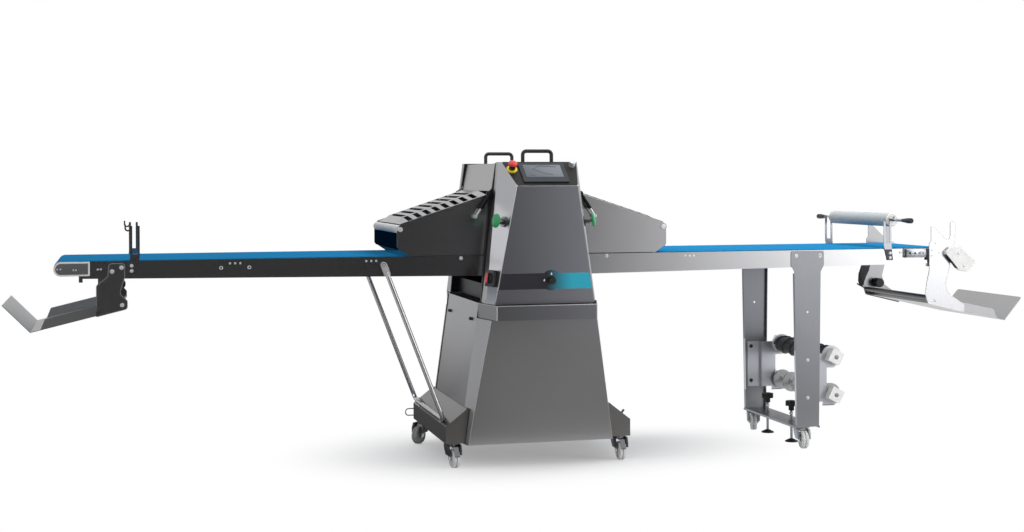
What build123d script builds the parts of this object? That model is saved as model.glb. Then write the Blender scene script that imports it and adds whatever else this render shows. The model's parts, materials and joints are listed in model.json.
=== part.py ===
from build123d import *
import math
import os

# Automatic dough sheeter: a head with two calibrating rollers on a cabinet, a belt table on each
# side, hinged guards, catch trays, a support strut on the left and a leg stand on the right.
# Millimetres, +Z up, +X to the right along the tables, +Y to the rear. Everything is modelled about
# the middle of the head on the floor, and moved to the middle of the footprint when it is written.
# "Out" is the distance from the head's middle along a table, so one outline serves both sides.

# Overall sizes: working height, half width of the tables, and reach of the belts from the head's middle
belt_top = 900.0
table_half = 300.0
nose_tip = 2003.0

# Clearances
running_gap = 0.3
shaft_clearance = 0.05

# Casters, which set the height of the base and of the leg stand's foot plate
wheel_r = 40.0
wheel_width = 30.0
wheel_hub_r = 13.0
caster_trail = wheel_r + 2.0
caster_plate = 4.0
caster_plate_half = 30.0
caster_bearing_r = 24.0
caster_bearing = 13.0
caster_leg = 3.0
caster_axle_r = 5.0
kingpin_r = 6.0
base_low = 2 * wheel_r + 24.0
foot_plate_high = 2 * wheel_r + 18.0

# Belts and their rollers
belt_half = table_half - 12.5
belt_thickness = 2.5
belt_roller_r = 25.2
belt_shaft_r = 8.0
drive_shaft_r = 10.0
belt_radius = belt_roller_r + running_gap + belt_thickness
belt_axis_z = belt_top - belt_radius
nose_out = nose_tip - belt_radius

# Calibrating rollers
calibrator_r = 42.0
calibrator_half = table_half - 4.0
calibrator_shaft_r = 20.0
gap_rest = 20.0
gap_open = 27.0
gap_close = 18.0
carriage_half = 35.0
carriage_low = 30.0
carriage_high = 68.0
spindle_r = 8.0
spindle_length = 205.0
spindle_guide_z = belt_top + 250.0
scraper_sheet = 4.0
scraper_height = 40.0
scraper_point = 8.0
lower_axis_z = belt_top - running_gap - calibrator_r
upper_axis_z = belt_top + gap_rest + calibrator_r
drive_out = calibrator_r + belt_radius + 14.0

# Table frames
rail_sheet = 3.0
rail_top = belt_top - 4.0
rail_inner = calibrator_r + 20.0
rail_outer = nose_tip - 98.0
rail_low_inner = belt_top - 92.0
rail_low_outer = belt_top - 72.0
rail_flange = 22.0
rail_stop = 15.0
bed_sheet = 3.0
bed_inner = drive_out + belt_radius + 8.0
cross_tube_width = 25.0
cross_tube_drop = 32.0
cross_tubes = 3

# Nose blocks at the ends of the rails
nose_plate = 6.0
nose_block_low = belt_top - 61.0
nose_block_high = belt_top - 3.0
nose_boss_inner = rail_outer + 3.0
adjuster_low = belt_top - 45.0
nose_inner_left = nose_tip - 141.0
nose_inner_right = nose_tip - 236.0

# Head: main side plates, housings and cover
side_plate = 12.0
side_outer = table_half + side_plate
side_top = belt_top + 395.0
tie_bar = 20.0
tie_bar_out = 110.0
housing_sheet = 2.0
housing_fold = 4.0
housing_low = belt_top - 188.0
housing_high = belt_top + 398.0
housing_front_low_y = side_outer + 158.0
housing_front_high_y = side_outer + 203.0
housing_front_high_z = housing_high - 103.0
housing_front_low_half = 217.0
housing_front_high_half = 134.0
console_back_y = side_outer + 62.0
console_back_half = 168.0
housing_back_low_half = 241.0
housing_back_high_half = 175.0
cover_sheet = 2.0
cover_half = table_half - 7.0
cover_drop = 7.0
cover_high_half = 166.0
cover_low_half = 188.0
cover_low_z = belt_top + 274.0
handle_r = 8.0
handle_half = 64.0
handle_high = housing_high + 55.0
handle_y = side_outer + 31.0
handle_bend = 16.0

# Cabinet
collar_high = housing_low - 18.0
collar_low = collar_high - 62.0
collar_front_y = side_outer + 191.0
collar_front_half = 220.0
collar_back_half = 257.0
panel_high = collar_low - 2.0
panel_low = base_low - 5.0
panel_front_high_y = side_outer + 148.0
panel_front_low_y = side_outer + 85.0
panel_front_high_half = 233.0
panel_back_high_half = 263.0
service_high = collar_high
service_high_half = 254.0
service_slope = 0.139
service_low_half = service_high_half + service_slope * (service_high - base_low)
panel_front_low_half = service_low_half - 15.0
service_sheet = 2.0

# Base and plinths
base_tube_high = base_low + 56.0
base_tube_depth = 40.0
service_low = base_tube_high + 4.0
plinth_out = service_low_half + 75.0
plinth_edge_z = base_low + 73.0
plinth_high = base_low + 146.0
plinth_half = side_outer + 54.0
plinth_sheet = 3.0
plinth_clear = 2.0
caster_pad = 6.0
caster_pad_half = 34.0
base_tube_wall = 3.0
peg_out = plinth_out - 22.0
peg_r = 5.0
peg_length = 22.0
bail_r = 2.5
bail_reach = 40.0
bail_height = 31.0
bail_y = plinth_half - 14.0
bail_z = base_low + 49.0
base_caster_out = plinth_out - 37.0
base_caster_y = table_half + 8.0

# Drive
motor_z = belt_top - 420.0
motor_r = 80.0
motor_length = 250.0
motor_foot = 7.0
motor_foot_half = 60.0
motor_foot_rise = 14.0
motor_bore = 60.0
gearbox_half = 70.0
gearbox_length = 90.0
fin_count = 9
fin_height = 8.0
fin_sheet = 5.0
motor_shaft_r = 14.0
roller_pulley_r = calibrator_r + 13.0
motor_pulley_r = 35.0
drive_belt_thickness = 4.0
pulley_width = 20.0
pulley_y = -side_outer - 4.0
shelf_sheet = 8.0
shelf_half = 120.0
crumb_tray_half = 205.0
crumb_tray_low = housing_low - 12.0
crumb_tray_high = lower_axis_z - calibrator_r - scraper_height - 8.0
crumb_tray_sheet = 2.0

# Guards, by distance out from the head's middle and height
guard_sheet = 2.0
guard_outer_y = table_half - 1.5
guard_tip = 605.0
guard_low = belt_top - belt_thickness - 0.1
guard_pivot_out = 165.0
guard_pivot_z = belt_top + 295.0
guard_pin_r = 6.0
guard_slope_inner = (215.0, belt_top + 258.0)
guard_slope_outer = (588.0, belt_top + 134.0)
guard_hip_rise = 18.0
guard_hip_width = 130.0
guard_front_run = 36.0
guard_front_rise = 2.0
guard_slot_rows = 8
guard_slot_first = 47.0
guard_slot_pitch = 42.5
guard_slot_wide = 22.0
guard_slot_edge = 14.0
guard_slot_bridge = 15.0
guard_roller_r = 18.0
guard_roller_out = guard_tip - 14.0
guard_roller_z = belt_top + 112.0
guard_cap_r = 10.0
apron_out = guard_tip - 6.0
apron_low = belt_top + 27.0
apron_sheet = 2.0

# Gas springs of the guards
gas_top = (203.0, belt_top + 260.0)
gas_end = (268.0, belt_top + 164.0)
gas_body_r = 8.0
gas_rod_r = 4.0
gas_body_length = 76.0
gas_pin_r = 4.0
gas_stud_r = 7.0
gas_y = side_outer + gas_body_r + 1.5

# Pin forks and rolling pin
fork_sheet = 4.0
fork_out = nose_tip - 318.0
fork_high = belt_top + 140.0
fork_slot = 20.0
fork_prong = 9.5
fork_slot_low = belt_top + 24.0
fork_foot_low = rail_top - 51.0
fork_foot_high = rail_top + 16.0
fork_foot_inner = 2.0
fork_foot_outer = 27.0
hook_z = belt_top + 131.0
hook_high = fork_high + 6.0
pin_rod_r = 6.5
hook_r = pin_rod_r + 0.7
hook_out = fork_out + fork_slot / 2 + fork_prong + hook_r + 0.8
hook_wall = 6.5
pin_z = hook_z - hook_r + pin_rod_r + running_gap
pin_barrel_r = 31.0
pin_barrel_half = table_half - 3.0
pin_rod_half = table_half + 92.0
pin_handle_length = 84.0
pin_handle_r = 12.0

# Catch trays, by distance beyond the belt's end and below its top
tray_half = table_half - 15.0
tray_sheet = 2.0
tray_wall = 40.0
tray_wall_start = 16.0
tray_corner = 14.0
tray_left = ((-258.0, -203.0), (91.0, -286.0), (200.0, -174.0))
tray_right = ((-96.0, -261.0), (298.0, -349.0), (391.0, -243.0))
bracket_sheet = 4.0
spacer_r = 9.0
tray_tube_r = 11.0
left_spacer = (-177.0, -198.0)
left_tube = (-273.0, -178.0)
left_knob = (-261.0, -132.0)
right_spacer = (37.0, -272.0)
right_tube = (-110.0, -232.0)
right_knob = (-58.0, -200.0)
clamp_knob_r = 23.0
clamp_knob_length = 46.0
guide_block_depth = 22.0

# Support strut
strut_r = 10.0
strut_pivot = (-665.0, belt_top - 34.0)
strut_foot = (3.0 - plinth_out, base_low + 92.0)
strut_y = table_half + strut_r + 2.0
strut_bend = 42.0
strut_ear = 8.0
strut_ear_half = 14.0
strut_ear_end = 34.0
strut_pin_r = 5.0
clip_width = 34.0
clip_block = 34.0

# Leg stand
leg_out = nose_tip - 719.0
leg_sheet = 3.0
leg_ear_half = 81.0
leg_high_half = 65.0
leg_low_half = 54.0
leg_ear_low = belt_top - 72.0
leg_high = belt_top - 100.0
leg_flange = 16.0
leg_hole_r = 5.0
leg_hole_z = belt_top - 284.0
foot_plate_sheet = 4.0
foot_plate_half = 58.0
foot_plate_lip = 6.0
foot_plate_low = foot_plate_high - foot_plate_sheet
leg_caster_out = leg_out - 22.0
leg_caster_y = table_half - 28.0

# Levelling feet
foot_out = leg_out - 5.0
foot_half = 135.0
foot_spindle_r = 6.0
foot_boss_r = 11.0
foot_pad_r = 30.0
foot_pad_low = 1.0
foot_knob_r = 29.0
foot_knob_low = foot_plate_high + 48.0
foot_knob_high = foot_plate_high + 94.0
foot_knob_lobes = 6

# Cutter holders and cutters
holder_sheet = 3.0
holder_low = foot_plate_high + 105.0
holder_high = holder_low + 220.0
holder_reach = leg_out + 102.0
holder_flange = 60.0
holder_outer_y = table_half - leg_flange
holder_inner_y = holder_outer_y - holder_sheet
cutter_out = leg_out + 131.0
cutter_upper_z = holder_low + 207.0
cutter_lower_z = holder_low + 34.0
cutter_tilt = 62.0
cutter_block = 46.0
cutter_head = 60.0
cutter_block_length = 46.0
cutter_block_start = holder_inner_y - 1.0
cutter_block_wall = 6.0
cutter_shaft_r = 7.0
cutter_disc_r = 47.0
cutter_disc_sheet = 9.0
blade_core_r = 38.0
blade_r = 45.0
blade_half = cutter_block_start - cutter_disc_sheet - 4.0
blade_count = 2
blade_sheet = 3.0
blade_twist = 1080.0
blade_steps = 48
disc_count = 6
disc_half = cutter_block_start - 2 * cutter_disc_sheet
disc_hub_r = cutter_shaft_r + 9.0

# Controls
console_sheet = 3.0
console_margin = 3.0
screen_width = 200.0
screen_height = 134.0
screen_depth = 6.0
stop_x = -134.0
stop_up = 112.0
stop_base_r = 23.0
stop_base = 6.0
stop_barrel_r = 14.0
stop_barrel = 14.0
stop_r = 20.0
stop_height = 17.0
stop_travel = 5.0
cap_x = 138.0
cap_up = 142.0
cap_r = 14.0
cap_height = 22.0
palm_y = housing_front_high_y - 60.0
palm_z = housing_low + 333.0
palm_base_r = 22.0
palm_base = 8.0
palm_sleeve_r = 12.0
palm_sleeve = 20.0
palm_r = 30.0
palm_height = 15.0
palm_travel = 6.0
button_stem_r = 8.0
button_stem = 18.0
button_spare = 1.0
knob_x = 24.0
knob_z = housing_low + 85.0
knob_r = 17.5
knob_flange = 6.0
knob_length = 22.0
switch_y = housing_front_low_y - 40.0
switch_z = housing_low + 93.0
switch_width = 58.0
switch_height = 70.0
switch_depth = 20.0
switch_knob_r = 22.0
switch_knob_length = 16.0
switch_grip = 14.0


def box(x0, x1, y0, y1, z0, z1):
    """A block between two corners."""
    middle = Pos((x0 + x1) / 2, (y0 + y1) / 2, (z0 + z1) / 2)
    return middle * Box(abs(x1 - x0), abs(y1 - y0), abs(z1 - z0))


def outline(points, radius=0):
    """A flat face with straight or rounded corners."""
    if radius:
        return make_face(FilletPolyline(*points, radius=radius, close=True))
    return make_face(Polyline(*points, close=True))


def slab_y(points, y0, y1, radius=0):
    """An outline in X and Z, thickened between two values of Y."""
    front = Plane((0, y0, 0), x_dir=(1, 0, 0), z_dir=(0, -1, 0))
    return extrude(front * outline(points, radius), amount=y1 - y0, dir=(0, 1, 0))


def slab_x(points, x0, x1, radius=0):
    """An outline in Y and Z, thickened between two values of X."""
    side = Plane((x0, 0, 0), x_dir=(0, 1, 0), z_dir=(1, 0, 0))
    return extrude(side * outline(points, radius), amount=x1 - x0, dir=(1, 0, 0))


def rod(start, end, radius):
    """A round bar between two points."""
    direction = Vector(end) - Vector(start)
    return Solid.make_cylinder(radius, direction.length, Plane(start, z_dir=direction))


def rod_y(x, z, radius, y0, y1):
    """A round bar along Y."""
    return rod((x, y0, z), (x, y1, z), radius)


def slab_z(points, z0, z1, radius=0):
    """An outline in X and Y, thickened between two heights."""
    return extrude(Pos(0, 0, z0) * outline(points, radius), amount=z1 - z0)


def both_sides(shape):
    """A rear piece and its front twin."""
    return [shape, mirror(shape, about=Plane.XZ)]


def strip(path, thickness):
    """The outline of a folded sheet: a path of points and its parallel at a thickness to the left."""
    normals = []
    for (x0, z0), (x1, z1) in zip(path, path[1:]):
        length = math.hypot(x1 - x0, z1 - z0)
        normals.append((-(z1 - z0) / length, (x1 - x0) / length))
    offset_path = []
    for index, (x, z) in enumerate(path):
        before = normals[max(index - 1, 0)]
        after = normals[min(index, len(normals) - 1)]
        share = 1 + before[0] * after[0] + before[1] * after[1]
        shift_x = (before[0] + after[0]) / share
        shift_z = (before[1] + after[1]) / share
        offset_path.append((x + thickness * shift_x, z + thickness * shift_z))
    return list(path) + offset_path[::-1]


def trim(shape, first, second, third, inside):
    """Cut a shape by the plane through three points, and keep the side of the inside point."""
    corner = Vector(first)
    normal = (Vector(second) - corner).cross(Vector(third) - corner)
    if normal.dot(Vector(inside) - corner) > 0:
        normal = -normal
    return split(shape, bisect_by=Plane(corner, z_dir=normal), keep=Keep.BOTTOM)


def flip(points, side):
    """Outline points given as out and up, turned to the left or right table."""
    return [(side * out, z) for out, z in points]


def from_nose(points):
    """Points given beyond the belt's end and below its top, as out and up."""
    return [(nose_tip + beyond, belt_top + rise) for beyond, rise in points]


def service_out(z):
    """Outer face of a service panel at a height."""
    return service_high_half + service_slope * (service_high - z)


left_reach = -from_nose(tray_left)[2][0]
right_reach = from_nose(tray_right)[2][0]


# Head and cabinet

def housing_width_at(y, z):
    """Half width of the flared front flank of an upper housing, at a depth and height."""
    rise = housing_high - housing_front_high_z
    run = housing_front_high_y - console_back_y
    drop = housing_front_high_z - housing_low
    lean = housing_front_high_y - housing_front_low_y
    gain = console_back_half - housing_front_high_half
    spread = housing_front_low_half - housing_front_high_half
    per_y = (gain * drop + spread * rise) / (run * drop + lean * rise)
    per_z = (gain - per_y * run) / rise
    out = housing_front_high_half + per_y * (housing_front_high_y - y)
    return out + per_z * (z - housing_front_high_z)


def fold_edges(shell, in_front_of):
    """Round the long bends of a front shell that lie in front of a depth."""
    bends = [
        edge for edge in shell.edges()
        if edge.center().Y < -in_front_of and edge.bounding_box().size.Z > 20
    ]
    return fillet(bends, housing_fold)


def upper_housing():
    """Front upper housing: a sheet shell with flared flanks and a sloped console, open behind and below."""
    back = -side_outer
    profile = [
        (back, housing_low),
        (-housing_front_low_y, housing_low),
        (-housing_front_high_y, housing_front_high_z),
        (-console_back_y, housing_high),
        (back, housing_high),
    ]
    reach = housing_back_low_half + 60
    shell = slab_x(profile, -reach, reach)
    inside = (0, back - 10, (housing_low + housing_high) / 2)
    for side in (-1, 1):
        front_flank = (
            (side * housing_front_high_half, -housing_front_high_y, housing_front_high_z),
            (side * housing_front_low_half, -housing_front_low_y, housing_low),
            (side * console_back_half, -console_back_y, housing_high),
        )
        back_flank = (
            (side * housing_back_high_half, back, housing_high),
            (side * housing_back_low_half, back, housing_low),
            (side * housing_back_high_half, back - 50, housing_high),
        )
        shell = trim(shell, *front_flank, inside)
        shell = trim(shell, *back_flank, inside)
    shell = fold_edges(shell, housing_front_low_y - 60)
    openings = [shell.faces().sort_by(Axis.Y)[-1], shell.faces().sort_by(Axis.Z)[0]]
    return offset(shell, amount=-housing_sheet, openings=openings)


def panel_flank(y, z):
    """Half width of the lower housing's flared return, at a depth and height."""
    per_y = (panel_back_high_half - panel_front_high_half) / (panel_front_high_y - side_outer)
    at_top = panel_front_high_half + per_y * (panel_front_high_y - y)
    low_at_top = panel_front_high_half + per_y * (panel_front_high_y - panel_front_low_y)
    per_z = (panel_front_low_half - low_at_top) / (panel_high - panel_low)
    return at_top + per_z * (panel_high - z)


def lower_panel():
    """Front lower housing of the cabinet: a leaning front with flared returns, open above and below."""
    back = -side_outer
    profile = [
        (back, panel_low),
        (-panel_front_low_y, panel_low),
        (-panel_front_high_y, panel_high),
        (back, panel_high),
    ]
    reach = panel_front_low_half + 80
    shell = slab_x(profile, -reach, reach)
    inside = (0, back - 5, (panel_low + panel_high) / 2)
    for side in (-1, 1):
        flank = (
            (side * panel_front_high_half, -panel_front_high_y, panel_high),
            (side * panel_front_low_half, -panel_front_low_y, panel_low),
            (side * panel_back_high_half, back, panel_high),
        )
        shell = trim(shell, *flank, inside)
    shell = fold_edges(shell, side_outer + 30)
    by_z = shell.faces().sort_by(Axis.Z)
    openings = [shell.faces().sort_by(Axis.Y)[-1], by_z[0], by_z[-1]]
    return offset(shell, amount=-housing_sheet, openings=openings)


def collar():
    """Lid round the front half of the cabinet's top, open below and behind."""
    back = -side_outer
    plan = [
        (-collar_back_half, back),
        (-collar_front_half, -collar_front_y),
        (collar_front_half, -collar_front_y),
        (collar_back_half, back),
    ]
    lid = slab_z(plan, collar_low, collar_high)
    lid = fillet(lid.edges().filter_by(Axis.Z).sort_by(Axis.Y)[:2], housing_fold)
    openings = [lid.faces().sort_by(Axis.Y)[-1], lid.faces().sort_by(Axis.Z)[0]]
    lid = offset(lid, amount=-housing_sheet, openings=openings)
    mouth = roller_pulley_r + 25
    return lid - box(-mouth, mouth, back - 2 * pulley_width - 10, back + 1, collar_high - 20, collar_high + 1)


def service_panel(side):
    """Leaning side panel of the cabinet, on the edges of the two side plates."""
    path = [(service_out(service_high), service_high), (service_out(service_low), service_low)]
    points = strip(path, -service_sheet)
    return slab_y(flip(points, side), -side_outer, side_outer)


def side_half_outline():
    """Right half of a main side plate, from the base tube up to the top."""
    inset = service_sheet * math.hypot(1, service_slope)
    return [
        (0, base_tube_high),
        (service_out(base_tube_high) - inset, base_tube_high),
        (service_out(service_high) - inset, service_high),
        (housing_back_low_half + 3, service_high + 8),
        (gas_top[0] + 1, gas_top[1] - 16),
        (gas_top[0] + 13, gas_top[1] - 6),
        (gas_top[0] + 13, gas_top[1] + 8),
        (gas_top[0] - 10, gas_top[1] + 22),
        (housing_back_high_half + 1, side_top),
        (0, side_top),
    ]


def side_frame():
    """Two main side plates with tie bars, motor shelf, hinge pins and spindle guides, as one weldment."""
    half = side_half_outline()
    points = half + [(-x, z) for x, z in half[1:-1]][::-1]
    plate = slab_y(points, table_half, side_outer)
    window_low = upper_axis_z - carriage_low - gap_close - 2
    window_high = upper_axis_z + carriage_high + gap_open + 2
    window = carriage_half + running_gap
    plate -= box(-window, window, table_half - 1, side_outer + 1, window_low, window_high)
    plate -= rod_y(0, lower_axis_z, calibrator_shaft_r + shaft_clearance, table_half - 1, side_outer + 1)
    guide_depth = 2 * spindle_r + 10
    guide = box(-25, 25, side_outer, side_outer + guide_depth, spindle_guide_z - 15, spindle_guide_z + 15)
    spindle_y = side_outer + guide_depth / 2
    guide -= rod((0, spindle_y, spindle_guide_z - 20), (0, spindle_y, spindle_guide_z + 20),
                 spindle_r + shaft_clearance)
    plate += guide
    for side in (-1, 1):
        plate += rod_y(side * guard_pivot_out, guard_pivot_z, guard_pin_r, table_half - 8, table_half + 1)
        plate += rod_y(side * gas_top[0], gas_top[1], gas_pin_r, side_outer - 1, gas_y + gas_body_r + 1)
    motor_hole = motor_shaft_r + 1
    front = mirror(plate, about=Plane.XZ) - rod_y(0, motor_z, motor_hole, -side_outer - 1, -table_half + 1)
    frame = plate + front
    for side in (-1, 1):
        frame += box(side * tie_bar_out - tie_bar / 2, side * tie_bar_out + tie_bar / 2,
                     -table_half, table_half, housing_high - cover_drop - tie_bar, housing_high - cover_drop)
    shelf_top = motor_z - motor_r - motor_foot
    frame += box(-shelf_half, shelf_half, -table_half, table_half, shelf_top - shelf_sheet, shelf_top)
    return frame


def crumb_tray():
    """Open tray under the rollers that closes the cabinet from above."""
    tray = box(-crumb_tray_half, crumb_tray_half, -table_half, table_half, crumb_tray_low, crumb_tray_high)
    return offset(tray, amount=-crumb_tray_sheet, openings=[tray.faces().sort_by(Axis.Z)[-1]])


def plinth_inner(z):
    """Inner wall of a plinth at a height, just clear of the service panel."""
    return service_out(z) + plinth_clear


def plinth(side):
    """Wedge-shaped sheet plinth beside the cabinet, open below, with a pad for each caster."""
    points = [
        (plinth_out, base_low), (plinth_out, plinth_edge_z),
        (plinth_inner(plinth_high), plinth_high), (plinth_inner(base_low), base_low),
    ]
    shell = slab_y(flip(points, side), -plinth_half, plinth_half)
    shell = offset(shell, amount=-plinth_sheet, openings=[shell.faces().sort_by(Axis.Z)[0]])
    flange = [
        (panel_flank(plinth_half, base_low) + plinth_clear, base_low),
        (panel_flank(plinth_half, plinth_high) + plinth_clear, plinth_high),
        (plinth_inner(plinth_high) + plinth_sheet, plinth_high),
        (plinth_inner(base_low) + plinth_sheet, base_low),
    ]
    for y in (-plinth_half, plinth_half - plinth_sheet):
        shell += slab_y(flip(flange, side), y, y + plinth_sheet)
    inner = side * plinth_inner(base_low)
    outer = side * (plinth_out - plinth_sheet / 2)
    for y in (-base_caster_y, base_caster_y):
        shell += box(inner, outer, y - caster_pad_half, y + caster_pad_half, base_low, base_low + caster_pad)
    return shell


def plinth_slope(out):
    """Height of a plinth's slope at a distance from the middle, and the slope's outward direction."""
    run = plinth_out - plinth_inner(plinth_high)
    rise = plinth_high - plinth_edge_z
    return plinth_edge_z + (plinth_out - out) * rise / run, Vector(rise, 0, run).normalized()


def plinth_peg():
    """Peg that stands on the right plinth's slope."""
    z, outward = plinth_slope(peg_out)
    foot = Vector(peg_out, -base_caster_y, z) - outward * plinth_sheet / 2
    return rod(tuple(foot), tuple(foot + outward * peg_length), peg_r)


def wire_bail():
    """Bent wire bail on the rear end of the left plinth."""
    root = -plinth_out + plinth_sheet / 2
    tip = -plinth_out - bail_reach
    low = bail_z - bail_height
    path = FilletPolyline(
        (root, bail_y, bail_z), (tip, bail_y, bail_z), (tip, bail_y, low), (root, bail_y, low),
        radius=bail_height * 0.45,
    )
    return sweep(Plane((root, bail_y, bail_z), z_dir=(-1, 0, 0)) * Circle(bail_r), path=path)


def base_tube(y0):
    """Cross tube between the plinths, cut to their leaning inner walls."""
    reach = plinth_out
    wall = base_tube_wall
    tube = box(-reach, reach, y0, y0 + base_tube_depth, base_low, base_tube_high)
    tube -= box(-reach, reach, y0 + wall, y0 + base_tube_depth - wall, base_low + wall, base_tube_high - wall)
    for side in (-1, 1):
        low = side * plinth_inner(base_low)
        high = side * plinth_inner(plinth_high)
        tube = trim(tube, (low, 0, base_low), (low, 1, base_low), (high, 0, plinth_high), (0, y0, base_low))
    return tube


def base_frame():
    """Both plinths and the two cross tubes that join them under the side plates."""
    left = plinth(-1) + wire_bail()
    right = plinth(1) + plinth_peg()
    return [left, right, base_tube(-side_outer), base_tube(side_outer - base_tube_depth)]


def head_cover():
    """Bent sheet over the rollers, between the two upper housings."""
    top = housing_high - cover_drop + cover_sheet
    path = [
        (-cover_low_half, cover_low_z), (-cover_high_half, top),
        (cover_high_half, top), (cover_low_half, cover_low_z),
    ]
    return slab_y(strip(path, -cover_sheet), -cover_half, cover_half)


def lift_handle():
    """Bent tube handle on top of the front housing."""
    path = FilletPolyline(
        (-handle_half, -handle_y, housing_high),
        (-handle_half, -handle_y, handle_high - handle_r),
        (handle_half, -handle_y, handle_high - handle_r),
        (handle_half, -handle_y, housing_high),
        radius=handle_bend,
    )
    section = Plane((-handle_half, -handle_y, housing_high), z_dir=(0, 0, 1)) * Circle(handle_r)
    return sweep(section, path=path)


# Rollers and drive

def lower_roller():
    """Lower calibrating roller with its shaft and drive pulley."""
    roller = rod_y(0, lower_axis_z, calibrator_r, -calibrator_half, calibrator_half)
    roller += rod_y(0, lower_axis_z, calibrator_shaft_r, pulley_y - pulley_width, side_outer + 6)
    roller += rod_y(0, lower_axis_z, roller_pulley_r, pulley_y - pulley_width, pulley_y)
    return roller


def upper_roller():
    """Upper calibrating roller with its shaft."""
    roller = rod_y(0, upper_axis_z, calibrator_r, -calibrator_half, calibrator_half)
    end = side_outer - 1
    return roller + rod_y(0, upper_axis_z, calibrator_shaft_r, -end, end)


def roller_carriage():
    """Bearing carriages of the upper roller with their lifting spindles, joined by a scraper blade."""
    inner = table_half - 1.3
    outer = side_outer + 0.4
    spindle_y = side_outer + spindle_r + 5
    block_low = upper_axis_z - carriage_low
    block_high = upper_axis_z + carriage_high
    block = box(-carriage_half, carriage_half, inner, outer, block_low, block_high)
    block -= rod_y(0, upper_axis_z, calibrator_shaft_r + shaft_clearance, inner - 1, outer + 1)
    lug_low = upper_axis_z + calibrator_shaft_r + 8
    lug_high = block_high - 8
    block += box(-carriage_half + 8, carriage_half - 8, outer, spindle_y + spindle_r + 3, lug_low, lug_high)
    block += rod((0, spindle_y, lug_high - 1), (0, spindle_y, lug_high + spindle_length), spindle_r)
    pair = block + mirror(block, about=Plane.XZ)
    low = upper_axis_z + calibrator_r + running_gap
    half = scraper_sheet / 2
    blade = [(-half, low + scraper_point), (0, low), (half, low + scraper_point),
             (half, block_high - 2), (-half, block_high - 2)]
    return pair + slab_y(blade, -inner, inner)


def lower_scraper():
    """Blade that cleans the lower roller, held between the side plates."""
    tip = lower_axis_z - calibrator_r - running_gap
    half = scraper_sheet / 2
    low = tip - scraper_height
    shoulder = tip - scraper_point
    points = [(-half, low), (half, low), (half, shoulder), (0, tip), (-half, shoulder)]
    return slab_y(points, -table_half, table_half)


def drive_motor():
    """Gear motor on the shelf: finned body, gearbox and foot."""
    front = -table_half + side_plate
    back = front + gearbox_length + motor_length
    middle = front + gearbox_length
    gearbox = box(-gearbox_half, gearbox_half, front, middle, motor_z - gearbox_half, motor_z + gearbox_half)
    gearbox = fillet(gearbox.edges().filter_by(Axis.Y), gearbox_half / 4)
    body = rod_y(0, motor_z, motor_r - fin_height, middle, back)
    pitch = motor_length / (fin_count + 1)
    for index in range(fin_count):
        y = middle + (index + 1) * pitch
        body += rod_y(0, motor_z, motor_r, y - fin_sheet / 2, y + fin_sheet / 2)
    foot = box(-motor_foot_half, motor_foot_half, front + fin_height, back - fin_height,
               motor_z - motor_r - motor_foot, motor_z - motor_r + motor_foot_rise)
    motor = gearbox + body + foot
    return motor - rod_y(0, motor_z, motor_shaft_r + shaft_clearance, front - 1, front + motor_bore)


def motor_pulley():
    """Pulley and shaft of the gear motor."""
    shaft = rod_y(0, motor_z, motor_shaft_r, pulley_y, -table_half + motor_bore)
    return shaft + rod_y(0, motor_z, motor_pulley_r, pulley_y - pulley_width, pulley_y)


def loop_outline(grow):
    """The outline of a belt round the two drive pulleys, at a distance from them."""
    return make_hull([
        *(Pos(0, lower_axis_z) * Circle(roller_pulley_r + grow)).edges(),
        *(Pos(0, motor_z) * Circle(motor_pulley_r + grow)).edges(),
    ])


def drive_belt():
    """Belt from the gear motor to the lower roller."""
    y = -side_outer - 5
    ring = loop_outline(running_gap + drive_belt_thickness) - loop_outline(running_gap)
    front = Plane((0, y, 0), x_dir=(1, 0, 0), z_dir=(0, -1, 0))
    return extrude(front * ring, amount=pulley_width - 2)


# Tables

def table_frame(side):
    """Two rails with turned-in flanges, the slider bed and its cross tubes, welded together."""
    web = [(rail_inner, rail_low_inner), (rail_inner, rail_top),
           (rail_outer, rail_top), (rail_outer, rail_low_outer)]
    lip = [(rail_inner, rail_low_inner), (rail_inner, rail_low_inner + rail_sheet),
           (rail_outer, rail_low_outer + rail_sheet), (rail_outer, rail_low_outer)]
    inner = table_half - rail_sheet
    rail = slab_y(flip(web, side), inner, table_half) + slab_y(flip(lip, side), inner - rail_flange, inner)
    rail -= rod_y(side * drive_out, belt_axis_z, drive_shaft_r + shaft_clearance, inner - 1, table_half + 1)
    frame = rail + mirror(rail, about=Plane.XZ)
    bed_top = belt_top - belt_thickness - running_gap
    frame += box(side * bed_inner, side * rail_outer, -inner, inner, bed_top - bed_sheet, bed_top)
    for index in range(cross_tubes):
        x = side * (bed_inner + (rail_outer - bed_inner) * (index + 0.5) / cross_tubes)
        high = bed_top - bed_sheet
        half = cross_tube_width / 2
        frame += box(x - half, x + half, -inner, inner, high - cross_tube_drop, high)
    for y in (-table_half, table_half - rail_stop):
        frame += box(side * (rail_outer - rail_stop), side * rail_outer, y, y + rail_stop,
                     rail_low_outer - rail_stop, rail_low_outer + rail_sheet)
    return frame


def belt(side):
    """Endless belt round the drive roller and the nose roller."""
    length = nose_out - drive_out
    middle = side * (nose_out + drive_out) / 2
    inner_radius = belt_radius - belt_thickness
    ring = SlotCenterToCenter(length, 2 * belt_radius) - SlotCenterToCenter(length, 2 * inner_radius)
    front = Plane((middle, -belt_half, belt_axis_z), x_dir=(1, 0, 0), z_dir=(0, -1, 0))
    return extrude(front * ring, amount=2 * belt_half, dir=(0, 1, 0))


def belt_roller(out, shaft_r, shaft_half):
    """A belt roller with its shaft."""
    roller = rod_y(out, belt_axis_z, belt_roller_r, -belt_half + 1, belt_half - 1)
    return roller + rod_y(out, belt_axis_z, shaft_r, -shaft_half, shaft_half)


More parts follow.
